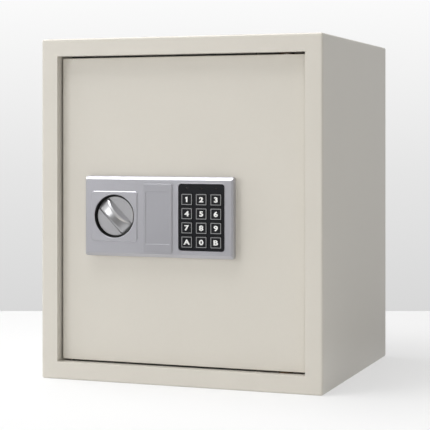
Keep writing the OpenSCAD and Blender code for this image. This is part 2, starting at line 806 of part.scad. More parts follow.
// Plate that carries both bolts: slots run on the studs, an upright slot takes the crank's pin,
// and two holes in the flange take the plunger with the bolts drawn or thrown
module bolt_carrier() {
    through_y = [carrier_y[0] - 1, carrier_y[1] + 1];
    slot_h = guide_d + 2 * slip;
    slot_ends = [guide_x, guide_x + bolt_throw];
    color("gainsboro")
    difference() {
        union() {
            block([lug_x[0], lug_x[0] + spine_w], carrier_y,
                  [bolts_z[0] - bolt_d / 2, bolts_z[1] + bolt_d / 2]);
            for (z = guides_z)
                block(guide_arm, carrier_y, about(z, slot_h + 10));
            block([lug_x[0], arm_end], carrier_y, arm_z);
            for (z = bolts_z)
                block(lug_x, [carrier_y[0], bolt_y + bolt_d / 2], about(z, bolt_d));
            block([solenoid_x - plunger_d / 2 - 4, arm_end], flange_y,
                  [arm_z[1] - carrier_t, arm_z[1]]);
        }
        for (z = guides_z) {
            block(slot_ends, through_y, about(z, slot_h));
            for (x = slot_ends)
                bar_y(x, through_y, z, slot_h);
        }
        block(about(crank_pin[0], crank_pin_d + 2 * crank_slack), through_y,
              [crank_pin[1] - crank_pin_d / 2 - crank_slack,
               panel_z + crank_r + crank_pin_d / 2 + crank_slack]);
        for (x = [solenoid_x, solenoid_x + bolt_throw])
            bar_z(x, solenoid_y, [arm_z[1] - carrier_t - 1, arm_z[1] + 1], plunger_d + 4 * slip);
        for (z = bolts_z)
            bar_x([lug_x[0] - 1, lug_x[1] + 1], bolt_y, z, bolt_screw_d);
    }
}

module live_bolts() {
    color("silver")
    for (z = bolts_z)
        difference() {
            union() {
                bar_x([bolt_x[0] + bolt_tip, bolt_x[1]], bolt_y, z, bolt_d);
                translate([bolt_x[0], bolt_y, z]) rotate([0, 90, 0])
                    cylinder(h = bolt_tip, d1 = bolt_d - 2 * bolt_tip, d2 = bolt_d);
            }
            bar_x([bolt_x[1] - 12, bolt_x[1] + 1], bolt_y, z, bolt_screw_d);
        }
}

module bolt_screws() {
    color("gray")
    for (z = bolts_z) {
        bar_x([bolt_x[1] - 12, lug_x[1]], bolt_y, z, bolt_screw_d);
        bar_x([lug_x[1], lug_x[1] + 3], bolt_y, z, bolt_screw_d + 4);
    }
}

// ---- Solenoid ----

module solenoid_yoke() {
    x = about(solenoid_x, yoke_w);
    y = [door_y[1], solenoid_y + coil_d / 2 + 1];
    color("darkgray")
    difference() {
        union() {
            block(x, [y[0], y[0] + yoke_t], yoke_z);
            block(x, y, [yoke_z[0], yoke_z[0] + yoke_t]);
            block(x, y, [yoke_z[1] - yoke_t, yoke_z[1]]);
        }
        bar_z(solenoid_x, solenoid_y, [yoke_z[0] - 1, yoke_z[0] + yoke_t + 1],
              plunger_d + 2 * running);
    }
}

module solenoid_coil() {
    z = [yoke_z[0] + yoke_t, yoke_z[1] - yoke_t];
    color("peru")
    difference() {
        bar_z(solenoid_x, solenoid_y, z, coil_d);
        bar_z(solenoid_x, solenoid_y, [z[0] - 1, z[1] + 1], plunger_d + 2 * slip);
    }
}

// Plunger with the plate that the override cam lifts
module solenoid_plunger() {
    color("silver") {
        bar_z(solenoid_x, solenoid_y, [tip_z, yoke_z[1] - yoke_t - 1], plunger_d);
        block(lift_x, [solenoid_y - plunger_d / 2, cam_y[1]], lift_z);
    }
}

// Return spring, shown squeezed between the yoke and the lifting plate
module plunger_spring() {
    wire_d = 0.9;
    color("silver")
    difference() {
        bar_z(solenoid_x, solenoid_y, [lift_z[1] + seat, yoke_z[0]],
              plunger_d + 2 * slip + 2 * wire_d);
        bar_z(solenoid_x, solenoid_y, [lift_z[1], yoke_z[0] + 1], plunger_d + 2 * slip);
    }
}

// ---- Override lock ----

module lock_barrel() {
    color("silver")
    difference() {
        union() {
            bar_y(cover_x, barrel_y, lock_z, barrel_d);
            bar_y(cover_x, [door_y[0] - 2, door_y[0]], lock_z, barrel_flange_d);
        }
        bar_y(cover_x, [barrel_y[0] - 1, barrel_y[1] + 1], lock_z, plug_d + 2 * running);
    }
}

module lock_nut() {
    color("goldenrod")
    difference() {
        translate([cover_x, door_y[1] + 3, lock_z]) rotate([90, 0, 0])
            cylinder(h = 3, d = nut_d, $fn = 6);
        bar_y(cover_x, [door_y[1] - 1, door_y[1] + 4], lock_z, barrel_d);
    }
}

// Plug with its keyway; its tail goes through the cam
module lock_plug() {
    color("goldenrod")
    difference() {
        union() {
            bar_y(cover_x, [barrel_y[0] - 0.3, cam_y[0]], lock_z, plug_d);
            bar_y(cover_x, [cam_y[0] - 1, cam_y[1] + 1], lock_z, plug_d - 4);
        }
        block(about(cover_x, 2), [barrel_y[0] - 1, barrel_y[0] + 20], about(lock_z, plug_d - 4));
    }
}

module lock_cam() {
    color("silver")
    difference() {
        union() {
            bar_y(cover_x, cam_y, lock_z, plug_d + 4);
            translate([cover_x, cam_y[0], lock_z]) rotate([0, 90 + cam_rise, 0])
                translate([0, 0, -cam_half])
                    cube([cam_reach, cam_y[1] - cam_y[0], 2 * cam_half]);
        }
        bar_y(cover_x, [cam_y[0] - 1, cam_y[1] + 1], lock_z, plug_d - 4);
    }
}

// ---- Batteries, reset and wiring ----

// Moulded box let into the back cover, with rails on its flange for the hatch
module battery_tray() {
    outer_x = about(tray_x, hatch_w + 2 * seat + 2 * rail_t);
    flange_z = [tray_z - hatch_h / 2 - seat - rail_t, tray_z + hatch_h / 2];
    color("dimgray")
    difference() {
        union() {
            block(about(tray_x, tray_w + 2 * tray_t), [tray_y[0], lid_y[1] + 1],
                  about(tray_z, tray_h + 2 * tray_t));
            block(outer_x, rail_y, flange_z);
        }
        block(about(tray_x, tray_w), [tray_y[0] + tray_t, rail_y[1] + 1],
              about(tray_z, tray_h));
        block(about(tray_x, hatch_w + 2 * seat), [hatch_y[0] - seat, hatch_y[1] + seat],
              [flange_z[0] + rail_t, flange_z[1] + 1]);
        block(about(tray_x, hatch_w - 4), [hatch_y[0], rail_y[1] + 1],
              [flange_z[0] + rail_t, flange_z[1] + 1]);
    }
}

// Lid of the battery box: it slides up its rails
module battery_hatch() {
    z = about(tray_z, hatch_h);
    color("dimgray") {
        block(about(tray_x, hatch_w), hatch_y, z);
        for (i = [0 : 4])
            block(about(tray_x, hatch_w * 0.4), [hatch_y[1] - 0.1, hatch_y[1] + 1],
                  about(z[1] - 8 - 3 * i, 1.2));
    }
}

module battery_cells() {
    color("darkslateblue")
    for (i = [0 : 3]) {
        x = tray_x + (i - 1.5) * cell_pitch;
        nub = i % 2 == 0 ? cell_len / 2 : -cell_len / 2 - 1.2;
        bar_z(x, cell_y, about(tray_z, cell_len), cell_d);
        bar_z(x, cell_y, [tray_z + nub, tray_z + nub + 1.2], 5.5);
    }
}

// A stud for each positive end, a spring for each negative one, and the strips behind them
module battery_contacts() {
    color("gold")
    for (i = [0 : 3])
        for (end = [-1, 1]) {
            x = tray_x + (i - 1.5) * cell_pitch;
            positive = (i % 2 == 0) == (end == 1);
            face = cell_len / 2 + (positive ? 1.2 : 0);
            translate([x, cell_y, tray_z]) mirror([0, 0, end == 1 ? 0 : 1]) {
                translate([0, 0, face])
                    cylinder(h = tray_h / 2 - 0.5 - face, d = positive ? 5 : 8);
                translate([-5, -5, tray_h / 2 - 0.5]) cube([10, 10, 0.5]);
            }
        }
}

// Small board on four pillars behind the back cover
module reset_board() {
    x = about(board_x, board_w);
    z = about(board_z, board_h);
    color("seagreen") {
        block(x, board_y, z);
        for (px = [x[0] + 4, x[1] - 4])
            for (pz = [z[0] + 4, z[1] - 4])
                bar_y(px, [board_y[1], lid_y[0]], pz, 6);
    }
}

module reset_switch() {
    color("dimgray") {
        block(about(board_x, 12), [switch_y[0], switch_y[0] + 4], about(board_z, 12));
        bar_y(board_x, switch_y, board_z, 6.8);
    }
}

// Button that starts the setting of a new code; its collar keeps it behind the cover
module reset_button() {
    color("firebrick") {
        bar_y(board_x, button_y, board_z, button_d);
        bar_y(board_x, button_collar_y, board_z, button_d + 3);
    }
}

module cable_grommet() {
    color("black")
    difference() {
        union() {
            bar_y(pad_x, [door_y[0] - 0.9, door_y[1] + 0.9], pad_z, grommet_d);
            bar_y(pad_x, [door_y[0] - 0.9, door_y[0]], pad_z, grommet_d + 4);
            bar_y(pad_x, [door_y[1], door_y[1] + 0.9], pad_z, grommet_d + 4);
        }
        bar_y(pad_x, [door_y[0] - 2, door_y[1] + 2], pad_z, trunk_d);
    }
}

module wiring() {
    hub = [pad_x, lead_y, pad_z];
    coil_z = (yoke_z[0] + yoke_z[1]) / 2;
    tray_drop = tray_z + tray_h / 2 - 8;
    board_lift = board_z - board_h / 2 + 10;
    color("firebrick") {
        bar_y(pad_x, [mat_y[1] + board_t, lead_y], pad_z, trunk_d);
        lead([hub, [pad_x, lead_y, coil_z], [solenoid_x + coil_d / 2, lead_y, coil_z]], lead_d);
        lead([hub, [pad_x, lead_y, tray_drop], [tray_x, lead_y, tray_drop],
              [tray_x, tray_y[0], tray_drop]], lead_d);
        lead([hub, [pad_x, lead_y, board_lift], [board_x, lead_y, board_lift],
              [board_x, board_y[0], board_lift]], lead_d);
    }
}

cabinet_wrap();
front_frame();
strike_rail();
back_panel();
floor_mat();
shelf();
shelf_brackets();
hinge_bushes();
door_stops();
door_plate();
hinge_brackets();
hinge_pins();
door_box();
door_back_cover();
cover_screws();
guide_studs();
lock_panel();
panel_screws();
keypad_bezel();
keypad_mat();
keypad_board();
status_lights();
shaft_bushing();
cable_grommet();
wiring();
solenoid_yoke();
solenoid_coil();
plunger_spring();
lock_barrel();
lock_nut();
battery_tray();
battery_cells();
battery_contacts();
reset_board();
reset_switch();
bolt_carrier();
live_bolts();
bolt_screws();
knob();
knob_shaft();
knob_crank();
solenoid_plunger();
lock_plug();
lock_cam();
override_cover();
reset_button();
battery_hatch();
key_1();
key_2();
key_3();
key_4();
key_5();
key_6();
key_7();
key_8();
key_9();
key_a();
key_0();
key_b();
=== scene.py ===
"""Finish and lighting of an in-room safe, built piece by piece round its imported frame."""
import json
import math

import bpy
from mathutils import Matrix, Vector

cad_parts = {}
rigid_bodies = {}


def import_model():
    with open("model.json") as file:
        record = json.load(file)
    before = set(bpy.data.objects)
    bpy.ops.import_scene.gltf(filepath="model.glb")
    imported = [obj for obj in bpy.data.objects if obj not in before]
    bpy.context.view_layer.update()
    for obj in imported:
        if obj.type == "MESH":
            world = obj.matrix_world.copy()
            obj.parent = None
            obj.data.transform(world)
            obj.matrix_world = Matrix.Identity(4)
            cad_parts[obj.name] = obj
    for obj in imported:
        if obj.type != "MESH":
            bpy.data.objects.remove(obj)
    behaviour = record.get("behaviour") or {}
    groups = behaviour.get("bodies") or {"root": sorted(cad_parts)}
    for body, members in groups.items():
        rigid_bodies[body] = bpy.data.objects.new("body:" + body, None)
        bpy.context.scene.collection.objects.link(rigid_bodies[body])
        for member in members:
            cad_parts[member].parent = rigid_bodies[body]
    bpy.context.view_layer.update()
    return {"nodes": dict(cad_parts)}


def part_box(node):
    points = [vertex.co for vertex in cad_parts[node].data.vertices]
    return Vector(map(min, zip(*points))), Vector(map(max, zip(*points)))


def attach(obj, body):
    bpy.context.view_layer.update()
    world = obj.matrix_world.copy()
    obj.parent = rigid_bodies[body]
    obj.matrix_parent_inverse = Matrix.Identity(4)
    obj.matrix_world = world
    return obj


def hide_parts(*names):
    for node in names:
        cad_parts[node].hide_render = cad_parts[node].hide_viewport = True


for leftover in list(bpy.data.objects):
    bpy.data.objects.remove(leftover)
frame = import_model()
scene = bpy.context.scene
nodes = frame["nodes"]


# ---- Cabinet shell ----
# Two-millimetre steel, folded into sides, top and floor and turned in at the front to make the
# frame and its jambs. The seams are welded and ground flush, so shell, frame and strike rail
# are one painted piece. The bolts enter two holes in the left jamb.

MM = 0.001


def add_block(name, x, y, z):
    """A box between two values on each axis, with its place in its mesh."""
    bpy.ops.object.select_all(action="DESELECT")
    middle = [(a + b) / 2 for a, b in (x, y, z)]
    bpy.ops.mesh.primitive_cube_add(size=1, location=middle, scale=[b - a for a, b in (x, y, z)])
    piece = bpy.context.object
    piece.name = piece.data.name = name
    bpy.ops.object.transform_apply(location=True, rotation=True, scale=True)
    return piece


def add_rod(name, start, end, diameter, sides=64):
    """A round bar from one point to another, with its place in its mesh."""
    bpy.ops.object.select_all(action="DESELECT")
    run = [b - a for a, b in zip(start, end)]
    length = math.hypot(*run)
    tilt = (0, math.acos(run[2] / length), math.atan2(run[1], run[0]))
    middle = [(a + b) / 2 for a, b in zip(start, end)]
    bpy.ops.mesh.primitive_cylinder_add(
        vertices=sides, radius=diameter / 2, depth=length, location=middle, rotation=tilt)
    piece = bpy.context.object
    piece.name = piece.data.name = name
    bpy.ops.object.transform_apply(location=True, rotation=True, scale=True)
    return piece


def choose(piece, kind, test):
    """Goes into edit mode with the faces or edges that pass a test on their middle point and on
    their normal, or their direction for an edge."""
    if bpy.context.object and bpy.context.object.mode == "EDIT":
        bpy.ops.object.mode_set(mode="OBJECT")
    bpy.ops.object.select_all(action="DESELECT")
    bpy.context.view_layer.objects.active = piece
    piece.select_set(True)
    mesh = piece.data
    for part in (mesh.vertices, mesh.edges, mesh.polygons):
        part.foreach_set("select", [False] * len(part))
    if kind == "FACE":
        for face in mesh.polygons:
            face.select = bool(test(face.center, face.normal))
    else:
        for edge in mesh.edges:
            a, b = (mesh.vertices[i].co for i in edge.vertices)
            edge.select = bool(test((a + b) / 2, (b - a).normalized()))
    scene.tool_settings.mesh_select_mode = (False, kind == "EDGE", kind == "FACE")
    bpy.ops.object.mode_set(mode="EDIT")


def push(x=0, y=0, z=0):
    """Extrudes what is chosen by a step along the axes."""
    bpy.ops.mesh.extrude_region_move(TRANSFORM_OT_translate={"value": (x, y, z)})


def shape_done():
    bpy.ops.object.mode_set(mode="OBJECT")


def combine(piece, tool, operation):
    """Cuts a second solid out of a piece, or joins it on, and drops that solid."""
    bpy.ops.object.select_all(action="DESELECT")
    bpy.context.view_layer.objects.active = piece
    piece.select_set(True)
    modifier = piece.modifiers.new(operation, "BOOLEAN")
    modifier.operation = operation
    modifier.solver = "EXACT"
    modifier.object = tool
    bpy.ops.object.modifier_apply(modifier=modifier.name)
    bpy.data.objects.remove(tool)


def soften(piece, width, segments=2, angle=40):
    """Rounds every edge sharper than an angle, and keeps the flats flat in the light."""
    bpy.ops.object.select_all(action="DESELECT")
    bpy.context.view_layer.objects.active = piece
    piece.select_set(True)
    if width:
        bevel = piece.modifiers.new("soften", "BEVEL")
        bevel.width = width
        bevel.segments = segments
        bevel.limit_method = "ANGLE"
        bevel.angle_limit = math.radians(angle)
        bevel.miter_outer = "MITER_ARC"
        bpy.ops.object.modifier_apply(modifier=bevel.name)
    bpy.ops.object.shade_smooth_by_angle(angle=math.radians(50))
    normals = piece.modifiers.new("normals", "WEIGHTED_NORMAL")
    normals.keep_sharp = True
    normals.weight = 80
    bpy.ops.object.modifier_apply(modifier=normals.name)


class Field:
    """A shader socket in a formula: an operator on it adds the Math node that works it out."""

    def __init__(self, tree, socket=None):
        self.tree = tree
        self.socket = socket

    def node(self, kind, settings=None, inputs=None, output=0):
        """Any node, by its type: its settings first, then the values or links of its sockets."""
        made = self.tree.nodes.new("ShaderNode" + kind)
        for name, value in (settings or {}).items():
            if name == "stops":
                ramp = made.color_ramp.elements
                while len(ramp) < len(value):
                    ramp.new(0.5)
                for stop, (place, colour) in zip(ramp, value):
                    stop.position, stop.color = place, colour
            else:
                setattr(made, name, value)
        for name, value in (inputs or {}).items():
            if isinstance(value, Field):
                self.tree.links.new(value.socket, made.inputs[name])
            else:
                made.inputs[name].default_value = value
        return Field(self.tree, made.outputs[output])

    def maths(self, operation, *terms):
        return self.node("Math", {"operation": operation}, dict(enumerate(terms)))

    def __add__(self, other):
        return self.maths("ADD", self, other)

    def __sub__(self, other):
        return self.maths("SUBTRACT", self, other)

    def __rsub__(self, other):
        return self.maths("SUBTRACT", other, self)

    def __mul__(self, other):
        return self.maths("MULTIPLY", self, other)

    __radd__ = __add__
    __rmul__ = __mul__


def start_material(name):
    """A new material with its Principled shader, and a Field to start its formulas from."""
    material = bpy.data.materials.new(name)
    material.use_nodes = True
    shader = material.node_tree.nodes["Principled BSDF"]
    return material, shader, Field(material.node_tree)


def drive(shader, name, value):
    """Sets a socket of the shader, or feeds it from a formula."""
    if isinstance(value, Field):
        value.tree.links.new(value.socket, shader.inputs[name])
    else:
        shader.inputs[name].default_value = value


def noise(field, size, detail=2.0, stretch=(1, 1, 1)):
    """Noise from 0 to 1 whose blotches are about size metres across."""
    place = field.node("TexCoord", output="Object")
    place = field.node("Mapping", inputs={"Vector": place, "Scale": stretch})
    return field.node("TexNoise", inputs={"Vector": place, "Scale": 1 / size, "Detail": detail})


def tone(field, mask, dark, light):
    """A colour between two, by a mask from 0 to 1."""
    return field.node("Mix", {"data_type": "RGBA"},
                      {"Factor": mask, 6: (*dark, 1), 7: (*light, 1)}, output=2)


def scaled(colour, factor):
    return tuple(channel * factor for channel in colour)


def powder_coat(name, colour):
    """Semi-gloss powder coat: a fine orange peel over sheet that is never quite flat."""
    material, shader, field = start_material(name)
    clouds = noise(field, 0.11, 3)
    specks = noise(field, 0.0035, 2)
    peel = noise(field, 0.0016, 1)
    waves = noise(field, 0.07, 1)
    mask = clouds * 0.7 + specks * 0.3
    drive(shader, "Base Color", tone(field, mask, scaled(colour, 0.965), scaled(colour, 1.035)))
    drive(shader, "Roughness", specks * 0.08 + clouds * 0.08 + 0.30)
    drive(shader, "Specular IOR Level", 0.28)
    drive(shader, "Coat Weight", 0.05)
    drive(shader, "Coat Roughness", 0.16)
    bump = field.node("Bump", inputs={"Strength": 0.25, "Distance": 0.0004, "Height": waves})
    bump = field.node("Bump", inputs={
        "Strength": 0.12, "Distance": 0.00008, "Height": peel, "Normal": bump})
    drive(shader, "Normal", bump)
    return material


def dress(piece, node_names, body, slot_name, *materials):
    """Gives a piece its materials, the body that it rides on, and the nodes that it shows."""
    piece.data.materials.clear()
    for material in materials:
        piece.data.materials.append(material)
    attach(piece, body)
    for node_name in node_names:
        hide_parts(node_name)


sheet = 2.0 * MM
bend_r = 2.6 * MM
wrap_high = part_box("cabinet_wrap")[1]
frame_low, frame_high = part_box("front_frame")
rail_low, rail_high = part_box("strike_rail")
plate_low, plate_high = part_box("door_plate")
half_w = wrap_high[0]
height = wrap_high[2]
front_y = frame_low[1]
back_y = wrap_high[1]
frame_w = rail_high[0] - rail_low[0]
jamb_back_y = frame_high[1]
bolt_low, bolt_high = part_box("live_bolts")
bolt_d = bolt_high[1] - bolt_low[1]
bolt_y = (bolt_low[1] + bolt_high[1]) / 2
strike_d = bolt_d + 2 * MM
bolt_heights = (bolt_low[2] + bolt_d / 2, bolt_high[2] - bolt_d / 2)
pin_low, pin_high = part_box("hinge_pins")
pivot_x = (pin_low[0] + pin_high[0]) / 2
pivot_y = (pin_low[1] + pin_high[1]) / 2
bush_d = 13 * MM
bush_reach = 14 * MM
anchor_x = 100 * MM
anchor_d = 11 * MM
anchor_floor_y = 20 * MM
anchor_wall_z = 290 * MM

ivory = (0.664, 0.637, 0.580)
cabinet_paint = powder_coat("cabinet_paint", ivory)

shell = add_block("cabinet_shell", (-half_w, half_w), (front_y, back_y), (0, height))
choose(shell, "FACE", lambda at, n: n.y < -0.9)
bpy.ops.mesh.inset(thickness=frame_w)
push(y=jamb_back_y - front_y)
bpy.ops.mesh.extrude_region_move(TRANSFORM_OT_translate={"value": (0, 0, 0)})
bpy.ops.transform.resize(value=((half_w - sheet) / (half_w - frame_w), 1,
                                (height / 2 - sheet) / (height / 2 - frame_w)),
                         center_override=(0, jamb_back_y, height / 2))
push(y=back_y - sheet - jamb_back_y)
choose(shell, "EDGE", lambda at, run: abs(at.y - front_y) < MM and (
    abs(abs(at.x) - half_w) < MM or min(at.z, height - at.z) < MM)
    or abs(run.y) > 0.9 and abs(abs(at.x) - half_w) < MM and min(at.z, height - at.z) < MM)
bpy.ops.mesh.bevel(offset=bend_r, segments=5, profile=0.5, affect="EDGES")
shape_done()
inner_low, inner_high = (-half_w + sheet, sheet), (half_w - sheet, height - sheet)
combine(shell, add_block("back_opening", (inner_low[0], inner_high[0]),
                         (back_y - 1.5 * sheet, back_y + sheet), (inner_low[1], inner_high[1])),
        "DIFFERENCE")
for side in (-1, 1):
    x = side * anchor_x
    combine(shell, add_rod("anchor", (x, anchor_floor_y, -sheet), (x, anchor_floor_y, 2 * sheet),
                           anchor_d, 40), "DIFFERENCE")
for z in bolt_heights:
    combine(shell, add_rod("strike", (-half_w + sheet, bolt_y, z),
                           (-half_w + 2 * frame_w, bolt_y, z), strike_d), "DIFFERENCE")
for z in (frame_w, height - frame_w):
    combine(shell, add_rod("pivot", (pivot_x, pivot_y, z - bush_reach),
                           (pivot_x, pivot_y, z + bush_reach), bush_d), "DIFFERENCE")
soften(shell, 0.7 * MM, 3)
dress(shell, ["cabinet_wrap", "front_frame", "strike_rail"], "cabinet", "body_paint", cabinet_paint)


# ---- Back panel ----
# A flat sheet set into the back of the shell and welded round its edge, pierced for the two
# wall anchors.

back_low, back_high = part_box("back_panel")
weld_gap, weld_step = 0.15 * MM, 0.4 * MM
back = add_block("back_panel_sheet", (back_low[0] + weld_gap, back_high[0] - weld_gap),
                 (back_low[1], back_high[1] - weld_step),
                 (back_low[2] + weld_gap, back_high[2] - weld_gap))
for side in (-1, 1):
    x = side * anchor_x
    combine(back, add_rod("anchor", (x, back_low[1] - sheet, anchor_wall_z),
                          (x, back_high[1] + sheet, anchor_wall_z), anchor_d, 40), "DIFFERENCE")
soften(back, 0.5 * MM, 2)
dress(back, ["back_panel"], "cabinet", "body_paint", cabinet_paint)


# ---- Door plate ----
# Four-millimetre plate with its edges just broken, in the same ivory powder coat. The lock
# panel and the works hide its holes for the knob's shaft, the lock and the cable.

door_paint = powder_coat("door_paint", ivory)
knob_low, knob_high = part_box("knob")
knob_x = (knob_low[0] + knob_high[0]) / 2
knob_z = (knob_low[2] + knob_high[2]) / 2
nut_low, nut_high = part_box("lock_nut")
lock_x = (nut_low[0] + nut_high[0]) / 2
lock_z = (nut_low[2] + nut_high[2]) / 2
grommet_low, grommet_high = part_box("cable_grommet")
cable_x = (grommet_low[0] + grommet_high[0]) / 2
cable_z = (grommet_low[2] + grommet_high[2]) / 2
door_corner_r, door_edge_r = 1.6 * MM, 1.0 * MM
door_holes = ((knob_x, knob_z, 13 * MM), (lock_x, lock_z, 19 * MM), (cable_x, cable_z, 12 * MM))
door = add_block("door_skin", *zip(plate_low, plate_high))
choose(door, "EDGE", lambda at, run: abs(run.y) > 0.9)
bpy.ops.mesh.bevel(offset=door_corner_r, segments=4, affect="EDGES")
choose(door, "EDGE", lambda at, run: at.y < plate_low[1] + 0.01 * MM)
bpy.ops.mesh.bevel(offset=door_edge_r, segments=4, affect="EDGES")
shape_done()
for x, z, hole_d in door_holes:
    combine(door, add_rod("hole", (x, plate_low[1] - MM, z), (x, plate_high[1] + MM, z), hole_d),
            "DIFFERENCE")
soften(door, 0.3 * MM, 2)
dress(door, ["door_plate"], "door", "door_paint", door_paint)


# ---- Lock panel ----
# Housing moulded in silver-grey plastic, screwed on from behind the door. It is a shallow
# shell with a chamfered front, a raised square round the knob's pocket, and two windows. The
# pocket is painted black inside.


def silver_plastic(name, colour, metallic, roughness, grain=0.1):
    """Plastic under a fine metallic lacquer, matt from a light spark erosion of the mould."""
    material, shader, field = start_material(name)
    sparks = noise(field, 0.0007, 2)
    clouds = noise(field, 0.05, 3)
    mask = sparks * 0.55 + clouds * 0.45
    drive(shader, "Base Color", tone(field, mask, scaled(colour, 0.93), scaled(colour, 1.07)))
    drive(shader, "Metallic", metallic)
    drive(shader, "Roughness", sparks * 0.06 + clouds * 0.05 + (roughness - 0.055))
    drive(shader, "Normal", field.node("Bump", inputs={
        "Strength": grain, "Distance": 0.00005, "Height": sparks}))
    return material


def black_plastic(name, colour, roughness, grain=0.0004):
    """Black moulded plastic, with fine grain where it is matt and faint flow marks."""
    material, shader, field = start_material(name)
    fine = noise(field, grain, 2)
    flow = noise(field, 0.02, 2)
    drive(shader, "Base Color", tone(field, flow, scaled(colour, 0.8), scaled(colour, 1.2)))
    drive(shader, "Roughness", fine * 0.08 + flow * 0.06 + (roughness - 0.07))
    drive(shader, "Normal", field.node("Bump", inputs={
        "Strength": 0.15 * min(1, roughness * 2), "Distance": 0.00004, "Height": fine}))
    return material


def round_corners(piece, radius, segments=5):
    """Rounds the four corners of a block, seen from the front."""
    choose(piece, "EDGE", lambda at, run: abs(run.y) > 0.9)
    bpy.ops.mesh.bevel(offset=radius, segments=segments, affect="EDGES")
    shape_done()


def break_front(piece, y, width, segments=1, along="xz"):
    """Chamfers or rounds the edges that lie in a front face, all or those along one axis."""
    choose(piece, "EDGE", lambda at, run: abs(at.y - y) < 0.02 * MM and (
        abs(run.y) < 0.1 if along == "xz" else abs(getattr(run, along)) > 0.9))
    bpy.ops.mesh.bevel(offset=width, segments=segments, affect="EDGES")
    shape_done()


def about(centre, width):
    return centre - width / 2, centre + width / 2


case_low, case_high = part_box("lock_panel")
pad_low, pad_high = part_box("status_lights")
cover_low, cover_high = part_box("override_cover")
wall, case_corner_r = 2.4 * MM, 3 * MM
long_bevel, side_bevel, bevel_foot_r = 4.0 * MM, 2.0 * MM, 1.3 * MM
slip = 0.2 * MM
door_face = plate_low[1]
boss_face = case_low[1]
boss_side, boss_rise, boss_corner_r, boss_edge = 58.1 * MM, 1.2 * MM, 3.6 * MM, 1.0 * MM
case_face = boss_face + boss_rise
pocket_d, cup_wall, case_shaft_d = 49.9 * MM, 1.5 * MM, 8.4 * MM
pocket_floor = knob_high[1] + 0.6 * MM
pocket_back = knob_high[1] + 1.8 * MM
pad_x = cable_x
pad_z = cable_z
pad_w, pad_h, pad_corner_r = 55.8 * MM, 75.95 * MM, 3.5 * MM
cover_x = (cover_low[0] + cover_high[0]) / 2
cover_z = (cover_low[2] + cover_high[2]) / 2
cover_lip = 2.8 * MM
post_d, screw_d, screw_deep = 6 * MM, 3 * MM, 6 * MM
post_in_x, post_in_z = 4.6 * MM, 7 * MM
lip_w, lip_rise = 1.3 * MM, 0.35 * MM

panel_silver = silver_plastic("panel_silver", (0.522, 0.522, 0.562), 0.60, 0.36)
pocket_black = black_plastic("pocket_black", (0.026, 0.026, 0.027), 0.40)

case = add_block("lock_case", (case_low[0], case_high[0]), (case_face, door_face),
                 (case_low[2], case_high[2]))
break_front(case, case_face, long_bevel, along="x")
break_front(case, case_face + long_bevel, bevel_foot_r, 4, along="x")
ends = add_block("ends", (case_low[0], case_high[0]), (case_face, door_face),
                 (case_low[2] - MM, case_high[2] + MM))
break_front(ends, case_face, side_bevel, along="z")
combine(case, ends, "INTERSECT")
outline = add_block("outline", (case_low[0], case_high[0]), (case_face - MM, door_face + MM),
                    (case_low[2], case_high[2]))
round_corners(outline, case_corner_r)
combine(case, outline, "INTERSECT")
hollow = add_block("hollow", (case_low[0] + wall, case_high[0] - wall),
                   (case_face + wall, door_face + MM), (case_low[2] + wall, case_high[2] - wall))
break_front(hollow, case_face + wall, long_bevel - 0.6 * wall, along="x")
combine(case, hollow, "DIFFERENCE")
boss = add_block("boss", about(knob_x, boss_side), (boss_face, case_face + MM),
                 about(knob_z, boss_side))
round_corners(boss, boss_corner_r)
break_front(boss, boss_face, boss_edge)
combine(case, boss, "UNION")
combine(case, add_rod("cup", (knob_x, case_face + MM, knob_z), (knob_x, pocket_back, knob_z),
                      pocket_d + 2 * cup_wall, 128), "UNION")
for x in (case_low[0] + post_in_x, case_high[0] - post_in_x):
    for z in (case_low[2] + post_in_z, case_high[2] - post_in_z):
        combine(case, add_rod("post", (x, case_face + wall - 0.5 * MM, z), (x, door_face, z),
                              post_d, 40), "UNION")
        combine(case, add_rod("screw_hole", (x, door_face - screw_deep, z),
                              (x, door_face + MM, z), screw_d, 32), "DIFFERENCE")
combine(case, add_rod("pocket", (knob_x, boss_face - MM, knob_z), (knob_x, pocket_floor, knob_z),
                      pocket_d, 128), "DIFFERENCE")
choose(case, "EDGE", lambda at, run: abs(at.y - boss_face) < 0.05 * MM and abs(
    math.hypot(at.x - knob_x, at.z - knob_z) - pocket_d / 2) < 0.3 * MM)
bpy.ops.mesh.bevel(offset=0.7 * MM, segments=3, affect="EDGES")
shape_done()
combine(case, add_rod("shaft_hole", (knob_x, boss_face - MM, knob_z),
                      (knob_x, door_face, knob_z), case_shaft_d), "DIFFERENCE")
lip = add_block("lip", about(pad_x, pad_w + 2 * lip_w), (case_face - lip_rise, case_face + MM),
                about(pad_z, pad_h + 2 * lip_w))
round_corners(lip, 4.2 * MM, 6)
break_front(lip, case_face - lip_rise, lip_rise - 0.01 * MM, 3)
combine(case, lip, "UNION")
window = add_block("pad_window", about(pad_x, pad_w + 2 * slip),
                   (boss_face - MM, door_face - 2 * MM), about(pad_z, pad_h + 2 * slip))
round_corners(window, pad_corner_r)
combine(case, window, "DIFFERENCE")
window = add_block("lock_window", about(cover_x, cover_high[0] - cover_low[0] - 2 * cover_lip),
                   (boss_face - MM, door_face - 2 * MM),
                   about(cover_z, cover_high[2] - cover_low[2] - 2 * cover_lip))
round_corners(window, 1 * MM)
combine(case, window, "DIFFERENCE")
soften(case, 0.35 * MM, 3, angle=32)
dress(case, ["lock_panel"], "door", "panel_silver", panel_silver, pocket_black)
for face in case.data.polygons:
    reach = math.hypot(face.center.x - knob_x, face.center.z - knob_z)
    in_pocket = reach < pocket_d / 2 + 0.05 * MM and face.center.y > boss_face + 0.8 * MM
    face.material_index = 1 if in_pocket and face.center.y < pocket_back - 0.1 * MM else 0


# ---- Knob ----
# Moulded disc with a crowned grip across it, in satin silver lacquer that is brighter on the
# grip. It turns the crank behind the door by a steel shaft, which is pressed into its back.

